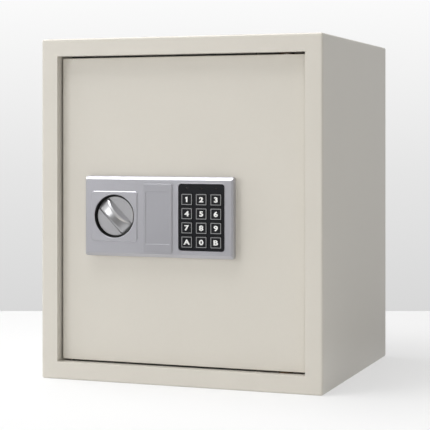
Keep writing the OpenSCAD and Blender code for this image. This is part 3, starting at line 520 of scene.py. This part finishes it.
disc_t = 3.6 * MM
knob_d = knob_high[0] - knob_low[0]
disc_face = knob_high[1] - disc_t
grip_h = disc_face - knob_low[1]
grip_w, grip_top_w = 18.5 * MM, 10.5 * MM
grip_chord = knob_d - MM
grip_r = (grip_chord ** 2 / 4 + grip_h ** 2) / (2 * grip_h)
grip_axis_y = disc_face + grip_r - grip_h
crest_round = 2.6 * MM
grip_turn = 45
wedge_front, wedge_back = -1.2 * grip_h, grip_h
bore_d, bore_deep = 8 * MM, 6 * MM

knob_silver = silver_plastic("knob_silver", (0.550, 0.550, 0.572), 0.55, 0.32)
crest_silver = silver_plastic("crest_silver", (0.520, 0.520, 0.532), 0.92, 0.34, 0.02)

knob = add_rod("turn_knob", (knob_x, disc_face, knob_z), (knob_x, knob_high[1], knob_z),
               knob_d, 160)
choose(knob, "EDGE", lambda at, run: abs(at.y - disc_face) < 0.02 * MM)
bpy.ops.mesh.bevel(offset=0.9 * MM, segments=4, affect="EDGES")
shape_done()
grip = add_rod("grip", (0, grip_axis_y, -grip_w), (0, grip_axis_y, grip_w), 2 * grip_r, 360)
flare = (grip_w - grip_top_w) / grip_h
wedge = add_block("wedge", (-knob_d, knob_d), (disc_face + wedge_front, disc_face + wedge_back),
                  (-0.5, 0.5))
for y, width in ((wedge_front, grip_w + wedge_front * flare),
                 (wedge_back, grip_w + wedge_back * flare)):
    choose(wedge, "FACE", lambda at, n: abs(at.y - disc_face - y) < MM and abs(n.y) > 0.9)
    bpy.ops.transform.resize(value=(1, 1, width))
    shape_done()
combine(grip, wedge, "INTERSECT")
choose(grip, "EDGE", lambda at, run: abs(at.z) > MM and at.y < disc_face + 0.9 * grip_h
       and math.hypot(at.x, at.y - grip_axis_y) > grip_r - 0.05 * MM)
bpy.ops.mesh.bevel(offset=crest_round, segments=7, affect="EDGES")
shape_done()
combine(grip, add_rod("rim", (0, disc_face - 2 * grip_h, 0), (0, disc_face + 0.6 * MM, 0),
                      knob_d - 0.9 * MM, 160), "INTERSECT")
grip.rotation_euler = (0, math.radians(grip_turn), 0)
grip.location = (knob_x, 0, knob_z)
bpy.ops.object.transform_apply(location=True, rotation=True, scale=True)
combine(knob, grip, "UNION")
combine(knob, add_rod("shaft_bore", (knob_x, knob_high[1] - bore_deep, knob_z),
                      (knob_x, knob_high[1] + MM, knob_z), bore_d), "DIFFERENCE")
soften(knob, 0.3 * MM, 2, angle=35)
dress(knob, ["knob"], "knob", "knob_silver", knob_silver, crest_silver)
for face in knob.data.polygons:
    sideways = abs(face.normal.x + face.normal.z)
    face.material_index = 1 if face.center.y < disc_face - 0.1 * MM and sideways < 1.25 else 0


# ---- Cover over the override lock ----
# Thin plate moulded in the panel's plastic, with a rim that clips into the panel's window. Its
# sunk field is left plain.

label_w, label_h, label_depth = 29.5 * MM, 60.3 * MM, 0.5 * MM
label_up = 0.2 * MM
rim_wall = 1.2 * MM
plate_back = case_face - slip

cover_silver = silver_plastic("cover_silver", (0.474, 0.475, 0.512), 0.60, 0.36)

cover = add_block("lock_cover", (cover_low[0], cover_high[0]), (cover_low[1], plate_back),
                  (cover_low[2], cover_high[2]))
round_corners(cover, 1.6 * MM)
break_front(cover, cover_low[1], 0.5 * MM, 3)
rim_x = about(cover_x, cover_high[0] - cover_low[0] - 2 * cover_lip - 2 * slip)
rim_z = about(cover_z, cover_high[2] - cover_low[2] - 2 * cover_lip - 2 * slip)
rim = add_block("rim", rim_x, (plate_back - 0.1 * MM, cover_high[1]), rim_z)
round_corners(rim, 0.9 * MM)
combine(rim, add_block("rim_hollow", (rim_x[0] + rim_wall, rim_x[1] - rim_wall),
                       (plate_back - MM, cover_high[1] + MM),
                       (rim_z[0] + rim_wall, rim_z[1] - rim_wall)), "DIFFERENCE")
combine(cover, rim, "UNION")
field_cut = add_block("field_cut", about(cover_x, label_w),
                      (cover_low[1] - MM, cover_low[1] + label_depth),
                      about(cover_z + label_up, label_h))
round_corners(field_cut, 0.5 * MM, 3)
combine(cover, field_cut, "DIFFERENCE")
soften(cover, 0.16 * MM, 2)
dress(cover, ["override_cover"], "override_cover", "panel_silver", cover_silver)


# ---- Keypad frame ----
# Glossy black moulding with a rounded edge. It comes in from behind, its flange holds the keys,
# and it has a round hole for each of the three lights.

key_w, key_h, key_corner_r = 13.8 * MM, 13.5 * MM, 1.8 * MM
key_low, key_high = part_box("key_1")
corner_key_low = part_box("key_b")[0]
step_x = (corner_key_low[0] - key_low[0]) / 2
step_z = (key_low[2] - corner_key_low[2]) / 3
first_x = (key_low[0] + key_high[0]) / 2
first_z = (key_low[2] + key_high[2]) / 2
key_face = key_low[1]
light_z = (pad_low[2] + pad_high[2]) / 2
light_d = pad_high[2] - pad_low[2]
mat_low, mat_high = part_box("keypad_mat")
pad_flange, flange_wall = 2 * MM, 1.5 * MM
flange_face = case_face + wall
pad_face = pad_low[1]

pad_black = black_plastic("pad_black", (0.008, 0.0085, 0.0115), 0.16)

bezel = add_block("keypad_frame", about(pad_x, pad_w), (pad_face, flange_face + MM),
                  about(pad_z, pad_h))
round_corners(bezel, pad_corner_r)
break_front(bezel, pad_face, 0.6 * MM, 3)
flange = add_block("flange", about(pad_x, pad_w + 2 * pad_flange), (flange_face, mat_high[1]),
                   about(pad_z, pad_h + 2 * pad_flange))
round_corners(flange, 2 * MM)
combine(flange, add_block("flange_hollow", about(pad_x, pad_w + 2 * (pad_flange - flange_wall)),
                          (flange_face + flange_wall, mat_high[1] + MM),
                          about(pad_z, pad_h + 2 * (pad_flange - flange_wall))), "DIFFERENCE")
combine(bezel, flange, "UNION")
for column in range(3):
    for row in range(4):
        hole = add_block("key_hole", about(first_x + column * step_x, key_w + 2 * slip),
                         (pad_face - MM, mat_low[1]),
                         about(first_z - row * step_z, key_h + 2 * slip))
        round_corners(hole, 1.2 * MM, 3)
        combine(bezel, hole, "DIFFERENCE")
    x = first_x + column * step_x
    combine(bezel, add_rod("light_hole", (x, pad_face - MM, light_z), (x, mat_low[1], light_z),
                           light_d, 40), "DIFFERENCE")
soften(bezel, 0.12 * MM, 2)
dress(bezel, ["keypad_bezel"], "door", "keypad_black", pad_black)


# ---- Keys ----
# Twelve caps moulded in black plastic, each with a grey square line round its face and a
# printed legend. Their flanges stop behind the frame, and the mat pushes them back.

cap_edge = 0.35 * MM
foot_face = flange_face + 1.8 * MM
ring_out, ring_w, ring_sink = 0.25 * MM, 0.85 * MM, 0.12 * MM
legend_h, legend_w = 6.1 * MM, 5.2 * MM
legend_t = 0.1 * MM
flag_l, flag_h, flag_turn = 2.0 * MM, 1.1 * MM, -35

key_dark = black_plastic("key_dark", (0.007, 0.0075, 0.010), 0.22)
key_line = black_plastic("key_line", (0.235, 0.237, 0.244), 0.45)
key_white = black_plastic("key_white", (0.820, 0.820, 0.815), 0.50)


def printed_mark(text):
    """A legend as a thin raised mesh in the plane of the door, centred on the origin."""
    bpy.ops.object.select_all(action="DESELECT")
    bpy.ops.object.text_add()
    mark = bpy.context.object
    mark.data.body = text
    mark.data.size = 0.01
    mark.data.offset = 0.0004
    mark.data.extrude = legend_t / 2
    mark.data.resolution_u = 6
    bpy.ops.object.convert(target="MESH")
    mark.rotation_euler = (math.pi / 2, 0, 0)
    bpy.ops.object.transform_apply(location=True, rotation=True, scale=True)
    return mark


def spread(piece, axis):
    values = [vertex.co[axis] for vertex in piece.data.vertices]
    return min(values), max(values)


def fit_mark(mark, x, y, z, stretch, rise):
    """Moves a legend to its key, at its own width and height."""
    left, right = spread(mark, 0)
    low, high = spread(mark, 2)
    for vertex in mark.data.vertices:
        vertex.co.x = x + (vertex.co.x - (left + right) / 2) * stretch
        vertex.co.y = y + vertex.co.y
        vertex.co.z = z + (vertex.co.z - (low + high) / 2) * rise


cap = add_block("key_cap", about(first_x, key_w), (key_face, foot_face),
                about(first_z, key_h))
round_corners(cap, key_corner_r, 5)
break_front(cap, key_face, cap_edge, 3)
choose(cap, "FACE", lambda at, n: n.y < -0.99)
bpy.ops.mesh.inset(thickness=ring_out)
bpy.ops.mesh.inset(thickness=ring_w)
push(y=ring_sink)
shape_done()
foot = add_block("foot", (key_low[0], key_high[0]), (foot_face, key_high[1]),
                 (key_low[2], key_high[2]))
round_corners(foot, 1 * MM, 3)
soften(foot, 0.1 * MM, 2)
soften(cap, 0)

measure = printed_mark("0")
zero_w = spread(measure, 0)[1] - spread(measure, 0)[0]
zero_h = spread(measure, 2)[1] - spread(measure, 2)[0]
bpy.data.objects.remove(measure)
for index, text in enumerate("123456789A0B"):
    shift_x, shift_z = (index % 3) * step_x, -(index // 3) * step_z
    mark = printed_mark(text)
    fit_mark(mark, first_x, key_face + ring_sink, first_z, legend_w / zero_w, legend_h / zero_h)
    if text == "1":
        # The plain letter is a bare bar, so a short slanted flag is joined on.
        flag = add_block("flag", about(0, flag_l), about(0, legend_t), about(0, flag_h))
        flag.rotation_euler = (0, math.radians(flag_turn), 0)
        flag.location = (first_x - flag_l / 2, key_face + ring_sink, first_z + legend_h / 2 - MM)
        bpy.ops.object.transform_apply(location=True, rotation=True, scale=True)
        combine(mark, flag, "UNION")
    soften(mark, 0)
    bpy.ops.object.select_all(action="DESELECT")
    parts = []
    for source in (cap, foot):
        part = source.copy()
        part.data = source.data.copy()
        scene.collection.objects.link(part)
        parts.append(part)
    for part in parts + [mark]:
        for vertex in part.data.vertices:
            vertex.co.x += shift_x
            vertex.co.z += shift_z
        part.data.materials.clear()
        part.data.materials.append(key_white if part is mark else key_dark)
        part.select_set(True)
    key = parts[0]
    key.data.materials.append(key_line)
    centre_x, centre_z = first_x + shift_x, first_z + shift_z
    for face in key.data.polygons:
        off_x = abs(face.center.x - centre_x) - (key_w / 2 - cap_edge - ring_out)
        off_z = abs(face.center.z - centre_z) - (key_h / 2 - cap_edge - ring_out)
        flat = face.normal.y < -0.99 and face.center.y < key_face + 0.02 * MM
        face.material_index = 1 if flat and max(off_x, off_z) < 0 else 0
    bpy.context.view_layer.objects.active = key
    bpy.ops.object.join()
    key.name = key.data.name = "keycap_" + text.lower()
    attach(key, "key_" + text.lower())
    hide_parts("key_" + text.lower())
bpy.data.objects.remove(cap)
bpy.data.objects.remove(foot)


# ---- Status lights ----
# Three smoked lenses above the keys, each a round pin with a slightly domed front.

lens_gap = 0.05 * MM
lens_smoke = black_plastic("lens_smoke", (0.020, 0.016, 0.016), 0.14)
for column, side in enumerate(("left", "middle", "right")):
    x = first_x + column * step_x
    lens = add_rod("light_" + side, (x, pad_face + lens_gap, light_z), (x, mat_low[1], light_z),
                   light_d - lens_gap, 48)
    break_front(lens, pad_face + lens_gap, 0.45 * MM, 4)
    soften(lens, 0)
    dress(lens, ["status_lights"], "door", "lens", lens_smoke)


# ---- Door box and inner cover ----
# Four folded walls on the back of the door and a painted lid over them, held by four screws.
# The lid has a window for the battery box and a hole for the reset button.


def refine(node_name, name, width, segments, body, slot_name, material, angle=40):
    """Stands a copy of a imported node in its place, as one welded mesh with rounded edges."""
    bpy.ops.object.select_all(action="DESELECT")
    piece = bpy.data.objects.new(name, nodes[node_name].data.copy())
    piece.data.name = name
    scene.collection.objects.link(piece)
    bpy.context.view_layer.objects.active = piece
    piece.select_set(True)
    bpy.ops.object.mode_set(mode="EDIT")
    bpy.ops.mesh.select_all(action="SELECT")
    bpy.ops.mesh.remove_doubles(threshold=0.002 * MM)
    bpy.ops.mesh.dissolve_limited(angle_limit=math.radians(0.5))
    bpy.ops.object.mode_set(mode="OBJECT")
    for key in [k for k in piece.keys() if k.startswith("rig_")]:
        del piece[key]
    soften(piece, width, segments, angle)
    dress(piece, [node_name], body, slot_name, material)


def plated_steel(name, colour, roughness, streak=(1, 1, 1)):
    """Zinc-plated or drawn steel: pale metal with cloudy passivation and fine drawn marks."""
    material, shader, field = start_material(name)
    clouds = noise(field, 0.012, 4)
    marks = noise(field, 0.0009, 2, streak)
    drive(shader, "Base Color", tone(field, clouds, scaled(colour, 0.86), scaled(colour, 1.08)))
    drive(shader, "Metallic", 1.0)
    drive(shader, "Roughness", clouds * 0.12 + marks * 0.12 + (roughness - 0.12))
    drive(shader, "Normal", field.node("Bump", inputs={
        "Strength": 0.12, "Distance": 0.00004, "Height": marks}))
    return material


zinc = plated_steel("zinc_steel", (0.560, 0.570, 0.580), 0.34)
refine("door_box", "works_walls", 0.3 * MM, 2, "door", "zinc_steel", zinc)
refine("door_back_cover", "works_lid", 0.35 * MM, 2, "door", "door_paint", door_paint)
refine("cover_screws", "lid_screws", 0.25 * MM, 2, "door", "zinc_steel", zinc, angle=50)


# ---- Battery box and hatch ----
# Black moulded tray let into the lid, with two rails that the hatch slides in. Four cells
# stand side by side behind it, between studs and springs.

tray_black = black_plastic("tray_black", (0.024, 0.024, 0.026), 0.48)
refine("battery_tray", "cell_tray", 0.3 * MM, 2, "door", "black_plastic", tray_black)
refine("battery_hatch", "cell_hatch", 0.3 * MM, 2, "battery_hatch", "black_plastic", tray_black)


def coat_node(node_name, material):
    """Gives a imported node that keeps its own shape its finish."""
    part = nodes[node_name]
    if not part.material_slots:
        part.data.materials.append(material)
    for holder in part.material_slots:
        holder.material = material


def printed_sleeve(name, colour, band, band_low, band_high):
    """Shrink sleeve of a cell: two colours that meet at a level, under a thin gloss."""
    material, shader, field = start_material(name)
    place = field.node("TexCoord", output="Object")
    height = field.node("SeparateXYZ", inputs={"Vector": place}, output=2)
    above = height.maths("GREATER_THAN", height, band_low)
    below = height.maths("LESS_THAN", height, band_high)
    wear = noise(field, 0.004, 3)
    drive(shader, "Base Color", tone(field, above * below * (1 - wear * 0.1), colour, band))
    drive(shader, "Roughness", wear * 0.1 + 0.25)
    return material


cells_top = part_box("battery_cells")[1][2]
cell_sleeve = printed_sleeve("cell_sleeve", (0.020, 0.028, 0.060), (0.420, 0.280, 0.080),
                             cells_top - 16 * MM, cells_top - 2 * MM)
contact_metal = plated_steel("contact_metal", (0.620, 0.600, 0.540), 0.26)
coat_node("battery_cells", cell_sleeve)
coat_node("battery_contacts", contact_metal)


# ---- Reset button, boards and wiring ----
# A red button in the lid works a switch on a small board. Leads run from the keypad's board
# through a rubber grommet to the reset board, the cells and the solenoid.


def circuit_board(name, mask_green, copper):
    """Glass board under green solder mask, with tinned tracks showing through it."""
    material, shader, field = start_material(name)
    place = field.node("TexCoord", output="Object")
    squares_per_metre, track_edge = 260.0, 0.62
    cells = field.node("TexVoronoi", {"feature": "F1", "distance": "MANHATTAN"},
                       {"Vector": place, "Scale": squares_per_metre})
    tracks = cells.maths("GREATER_THAN", cells, track_edge)
    drive(shader, "Base Color", tone(field, tracks, mask_green, copper))
    drive(shader, "Roughness", noise(field, 0.003, 2) * 0.15 + 0.25)
    drive(shader, "Metallic", tracks * 0.6)
    return material


def soft_rubber(name, colour, roughness=0.7):
    """Rubber or silicone: matt, with a slight bloom in patches."""
    material, shader, field = start_material(name)
    bloom = noise(field, 0.01, 4)
    drive(shader, "Base Color", tone(field, bloom, scaled(colour, 0.8), scaled(colour, 1.3)))
    drive(shader, "Roughness", bloom * 0.15 + (roughness - 0.08))
    drive(shader, "Normal", field.node("Bump", inputs={
        "Strength": 0.2, "Distance": 0.00006, "Height": noise(field, 0.0006, 2)}))
    return material


board_green = circuit_board("board_green", (0.012, 0.110, 0.050), (0.300, 0.330, 0.260))
button_red = black_plastic("button_red", (0.420, 0.020, 0.016), 0.30)
refine("reset_button", "reset_push", 0.4 * MM, 3, "reset_button", "button_red", button_red)
coat_node("reset_board", board_green)
coat_node("keypad_board", board_green)
coat_node("reset_switch", tray_black)
coat_node("wiring", soft_rubber("lead_red", (0.300, 0.018, 0.014), 0.45))
coat_node("cable_grommet", soft_rubber("grommet_black", (0.014, 0.014, 0.014)))
coat_node("keypad_mat", soft_rubber("mat_grey", (0.040, 0.043, 0.046)))


# ---- Bolts, carrier and guides ----
# Two turned steel bolts with chamfered ends, screwed to one pressed carrier plate. Its slots
# run on shouldered studs, and the knob's crank pulls it.

bolt_steel = plated_steel("bolt_steel", (0.500, 0.505, 0.515), 0.24, (9, 0.6, 0.6))
refine("live_bolts", "twin_bolts", 0.35 * MM, 3, "bolt_work", "bolt_steel", bolt_steel)
refine("bolt_carrier", "pressed_carrier", 0.25 * MM, 2, "bolt_work", "zinc_steel", zinc)
coat_node("bolt_screws", zinc)
coat_node("guide_studs", zinc)
coat_node("panel_screws", zinc)
coat_node("knob_shaft", bolt_steel)
coat_node("knob_crank", zinc)


# ---- Solenoid ----
# Steel yoke round a taped copper coil. A spring pushes the plunger into the carrier's flange,
# and the current or the override cam lifts it out.

coil_wrap = soft_rubber("coil_wrap", (0.260, 0.130, 0.050), 0.5)
coat_node("solenoid_yoke", zinc)
coat_node("solenoid_coil", coil_wrap)
coat_node("solenoid_plunger", bolt_steel)
coat_node("plunger_spring", contact_metal)


# ---- Override lock ----
# Cylinder lock behind the cover: a plated barrel held by a brass nut, a brass plug with the
# keyway, and a cam on its tail that lifts the plunger.

brass = plated_steel("turned_brass", (0.640, 0.460, 0.200), 0.28)
bronze = plated_steel("bronze_bush", (0.150, 0.098, 0.056), 0.45)
refine("lock_barrel", "cylinder_barrel", 0.3 * MM, 2, "door", "zinc_steel", zinc)
refine("lock_plug", "cylinder_plug", 0.25 * MM, 2, "override_plug", "brass", brass)
coat_node("lock_nut", brass)
coat_node("lock_cam", zinc)
coat_node("shaft_bushing", bronze)


# ---- Hinges and door stops ----
# Steel blocks on the door carry two pins, which turn in dark flanged bronze bushes in the frame.
# Two rubber strips on the frame meet the shut door.

refine("hinge_brackets", "hinge_blocks", 0.6 * MM, 3, "door", "zinc_steel", zinc)
refine("hinge_pins", "pivot_pins", 0.5 * MM, 2, "door", "bolt_steel", bolt_steel)
refine("hinge_bushes", "frame_bushes", 0.2 * MM, 2, "cabinet", "bronze", bronze)
refine("door_stops", "stop_strips", 0.6 * MM, 3, "cabinet", "rubber",
       soft_rubber("stop_rubber", (0.022, 0.022, 0.022)))


# ---- Shelf, brackets and mat ----
# A folded steel tray turned over rests on two welded brackets and lifts out. A felt mat is
# glued to the cabinet's floor, with a hole round each anchor.


def pressed_felt(name, colour):
    """Needled felt: matted fibres, with darker nap in patches."""
    material, shader, field = start_material(name)
    fibres = noise(field, 0.0011, 4, (1, 0.35, 1))
    nap = noise(field, 0.03, 3)
    mask = fibres * 0.6 + nap * 0.4
    drive(shader, "Base Color", tone(field, mask, scaled(colour, 0.6), scaled(colour, 1.5)))
    drive(shader, "Roughness", 0.95)
    drive(shader, "Sheen Weight", 0.4)
    drive(shader, "Normal", field.node("Bump", inputs={
        "Strength": 0.8, "Distance": 0.0005, "Height": fibres}))
    return material


refine("shelf", "lift_out_shelf", 0.5 * MM, 3, "cabinet", "body_paint", cabinet_paint)
refine("shelf_brackets", "welded_ledges", 0.4 * MM, 2, "cabinet", "body_paint", cabinet_paint)
refine("floor_mat", "felt_mat", 0.8 * MM, 3, "cabinet", "felt",
       pressed_felt("felt_grey", (0.050, 0.052, 0.056)))


# ---- Floor, light and camera ----
# A white table that ends behind the safe, and a pale surround that grows lighter upwards. The
# soft lights stand in front on the left, overhead, low in front and at the left side. The last
# one throws the shadow on the table, and does not show in metal.

view_turn = math.radians(20.03)
eye = (0.5960, -1.6587, 0.2878)
floor_end, floor_run, floor_across = 2.317, 9.0, 16
focal_mm, sensor_mm, lens_shift, sight = 119.1, 36, -0.1876, 30
table_grey = (0.86, 0.86, 0.86, 1)
white = (1, 1, 1, 1)
glow_seen, glow_lit = 0.55, 0.10
gloss_ahead, gloss_behind, gloss_foot = 0.24, 0.45, 0.35
ambient = 0.31


def seen_rays(field):
    """One for the rays that see the set itself, straight or in metal and glass, and else none."""
    camera = field.node("LightPath", output="Is Camera Ray")
    glossy = field.node("LightPath", output="Is Glossy Ray")
    through = field.node("LightPath", output="Is Transmission Ray")
    return camera.maths("MAXIMUM", camera, glossy.maths("MAXIMUM", glossy, through))


bpy.ops.object.select_all(action="DESELECT")
aim = (-math.sin(view_turn), math.cos(view_turn))
floor_middle = floor_end - floor_run / 2
bpy.ops.mesh.primitive_plane_add(
    size=1, location=(eye[0] + aim[0] * floor_middle, eye[1] + aim[1] * floor_middle, 0),
    rotation=(0, 0, view_turn))
floor = bpy.context.object
floor.scale = (floor_across, floor_run, 1)
floor.name = floor.data.name = "table_top"
bpy.ops.object.transform_apply(location=True, rotation=True, scale=True)
material, shader, field = start_material("white_table")
drive(shader, "Base Color", table_grey)
drive(shader, "Roughness", 0.6)
drive(shader, "Specular IOR Level", 0.2)
seen = seen_rays(field)
glow = field.node("Emission", inputs={"Color": white, "Strength": 1.0})
# In metal and gloss the table shows a painted glow, a little darker in front of the safe than round
# its foot.
place = field.node("TexCoord", output="Object")
away = field.node("VectorMath", {"operation": "LENGTH"}, {0: place}, output="Value")
front = field.node("SeparateXYZ", inputs={"Vector": place}, output=1)
front = field.node("MapRange", inputs={"Value": front, "From Min": -0.46, "From Max": -0.24})
foot_zone = field.node("MapRange", inputs={"Value": away, "From Min": 0.40, "From Max": 0.22})
painted_floor_glow = front * gloss_behind + foot_zone * gloss_foot + gloss_ahead
mirrored = field.node("Emission", inputs={"Color": white, "Strength": painted_floor_glow})
straight = field.node("LightPath", output="Is Camera Ray")
lit = field.node("MixShader", inputs={0: straight * glow_seen + (1 - seen) * glow_lit})
mixed = field.node("MixShader", inputs={0: seen - straight})
tree = material.node_tree
tree.links.new(shader.outputs[0], lit.socket.node.inputs[1])
tree.links.new(glow.socket, lit.socket.node.inputs[2])
tree.links.new(lit.socket, mixed.socket.node.inputs[1])
tree.links.new(mirrored.socket, mixed.socket.node.inputs[2])
tree.links.new(mixed.socket, tree.nodes["Material Output"].inputs["Surface"])
floor.data.materials.append(material)

world = bpy.data.worlds.new("surround")
world.use_nodes = True
scene.world = world
field = Field(world.node_tree)
direction = field.node("TexCoord", output="Generated")
rise = field.node("SeparateXYZ", inputs={"Vector": direction}, output=2)
level = field.node("MapRange", inputs={"Value": rise, "From Min": -0.13, "From Max": 0.10})
shade = field.node("ValToRGB", {"stops": [
    (0.0, (0.68, 0.68, 0.68, 1)), (0.45, (0.79, 0.79, 0.79, 1)), (1.0, (0.97, 0.97, 0.97, 1))]},
    {"Fac": level})
backdrop = world.node_tree.nodes["Background"]
world.node_tree.links.new(shade.socket, backdrop.inputs["Color"])
ahead = field.node("SeparateXYZ", inputs={"Vector": direction}, output=1)
dim = field.node("MapRange", inputs={
    "Value": ahead, "From Min": -0.7, "From Max": 0.15, "To Min": 0.62, "To Max": 1.0})
straight = field.node("LightPath", output="Is Camera Ray")
seen = seen_rays(field)
strength = straight + (seen - straight) * dim + (1 - seen) * ambient
world.node_tree.links.new(strength.socket, backdrop.inputs["Strength"])


def add_softbox(name, place, look_at, width, height, power):
    """A soft rectangular light, turned to face a point. Its power is in watts."""
    light = bpy.data.lights.new(name, "AREA")
    light.shape = "RECTANGLE"
    light.size, light.size_y, light.energy = width, height, power
    lamp = bpy.data.objects.new(name, light)
    scene.collection.objects.link(lamp)
    run = [b - a for a, b in zip(place, look_at)]
    flat = math.hypot(run[0], run[1])
    lamp.location = place
    lamp.rotation_euler = (math.pi / 2 + math.atan2(run[2], flat), 0,
                           math.atan2(run[1], run[0]) - math.pi / 2)
    return lamp


front_middle = (0, front_y, height / 2)
add_softbox("key_light", (-2.45, -2.70, 1.10), front_middle, 1.3, 1.3, 28)
add_softbox("top_light", (-0.50, -0.32, 2.00), front_middle, 1.6, 1.0, 34)
low_lamp = add_softbox("low_light", (1.10, -2.60, 0.30), (0.1, front_y, 0), 1.6, 0.5, 8)
low_lamp.data.color = (1.0, 0.92, 0.78)
side_lamp = add_softbox("side_light", (-2.75, -0.95, 1.00), front_middle, 0.9, 0.9, 13)
side_lamp.visible_glossy = False

camera = bpy.data.objects.new("camera", bpy.data.cameras.new("camera"))
scene.collection.objects.link(camera)
camera.location = eye
camera.rotation_euler = (math.pi / 2, 0, view_turn)
camera.data.lens = focal_mm
camera.data.sensor_width = sensor_mm
camera.data.shift_y = lens_shift
camera.data.clip_end = sight
scene.camera = camera
scene.view_settings.view_transform = "Standard"
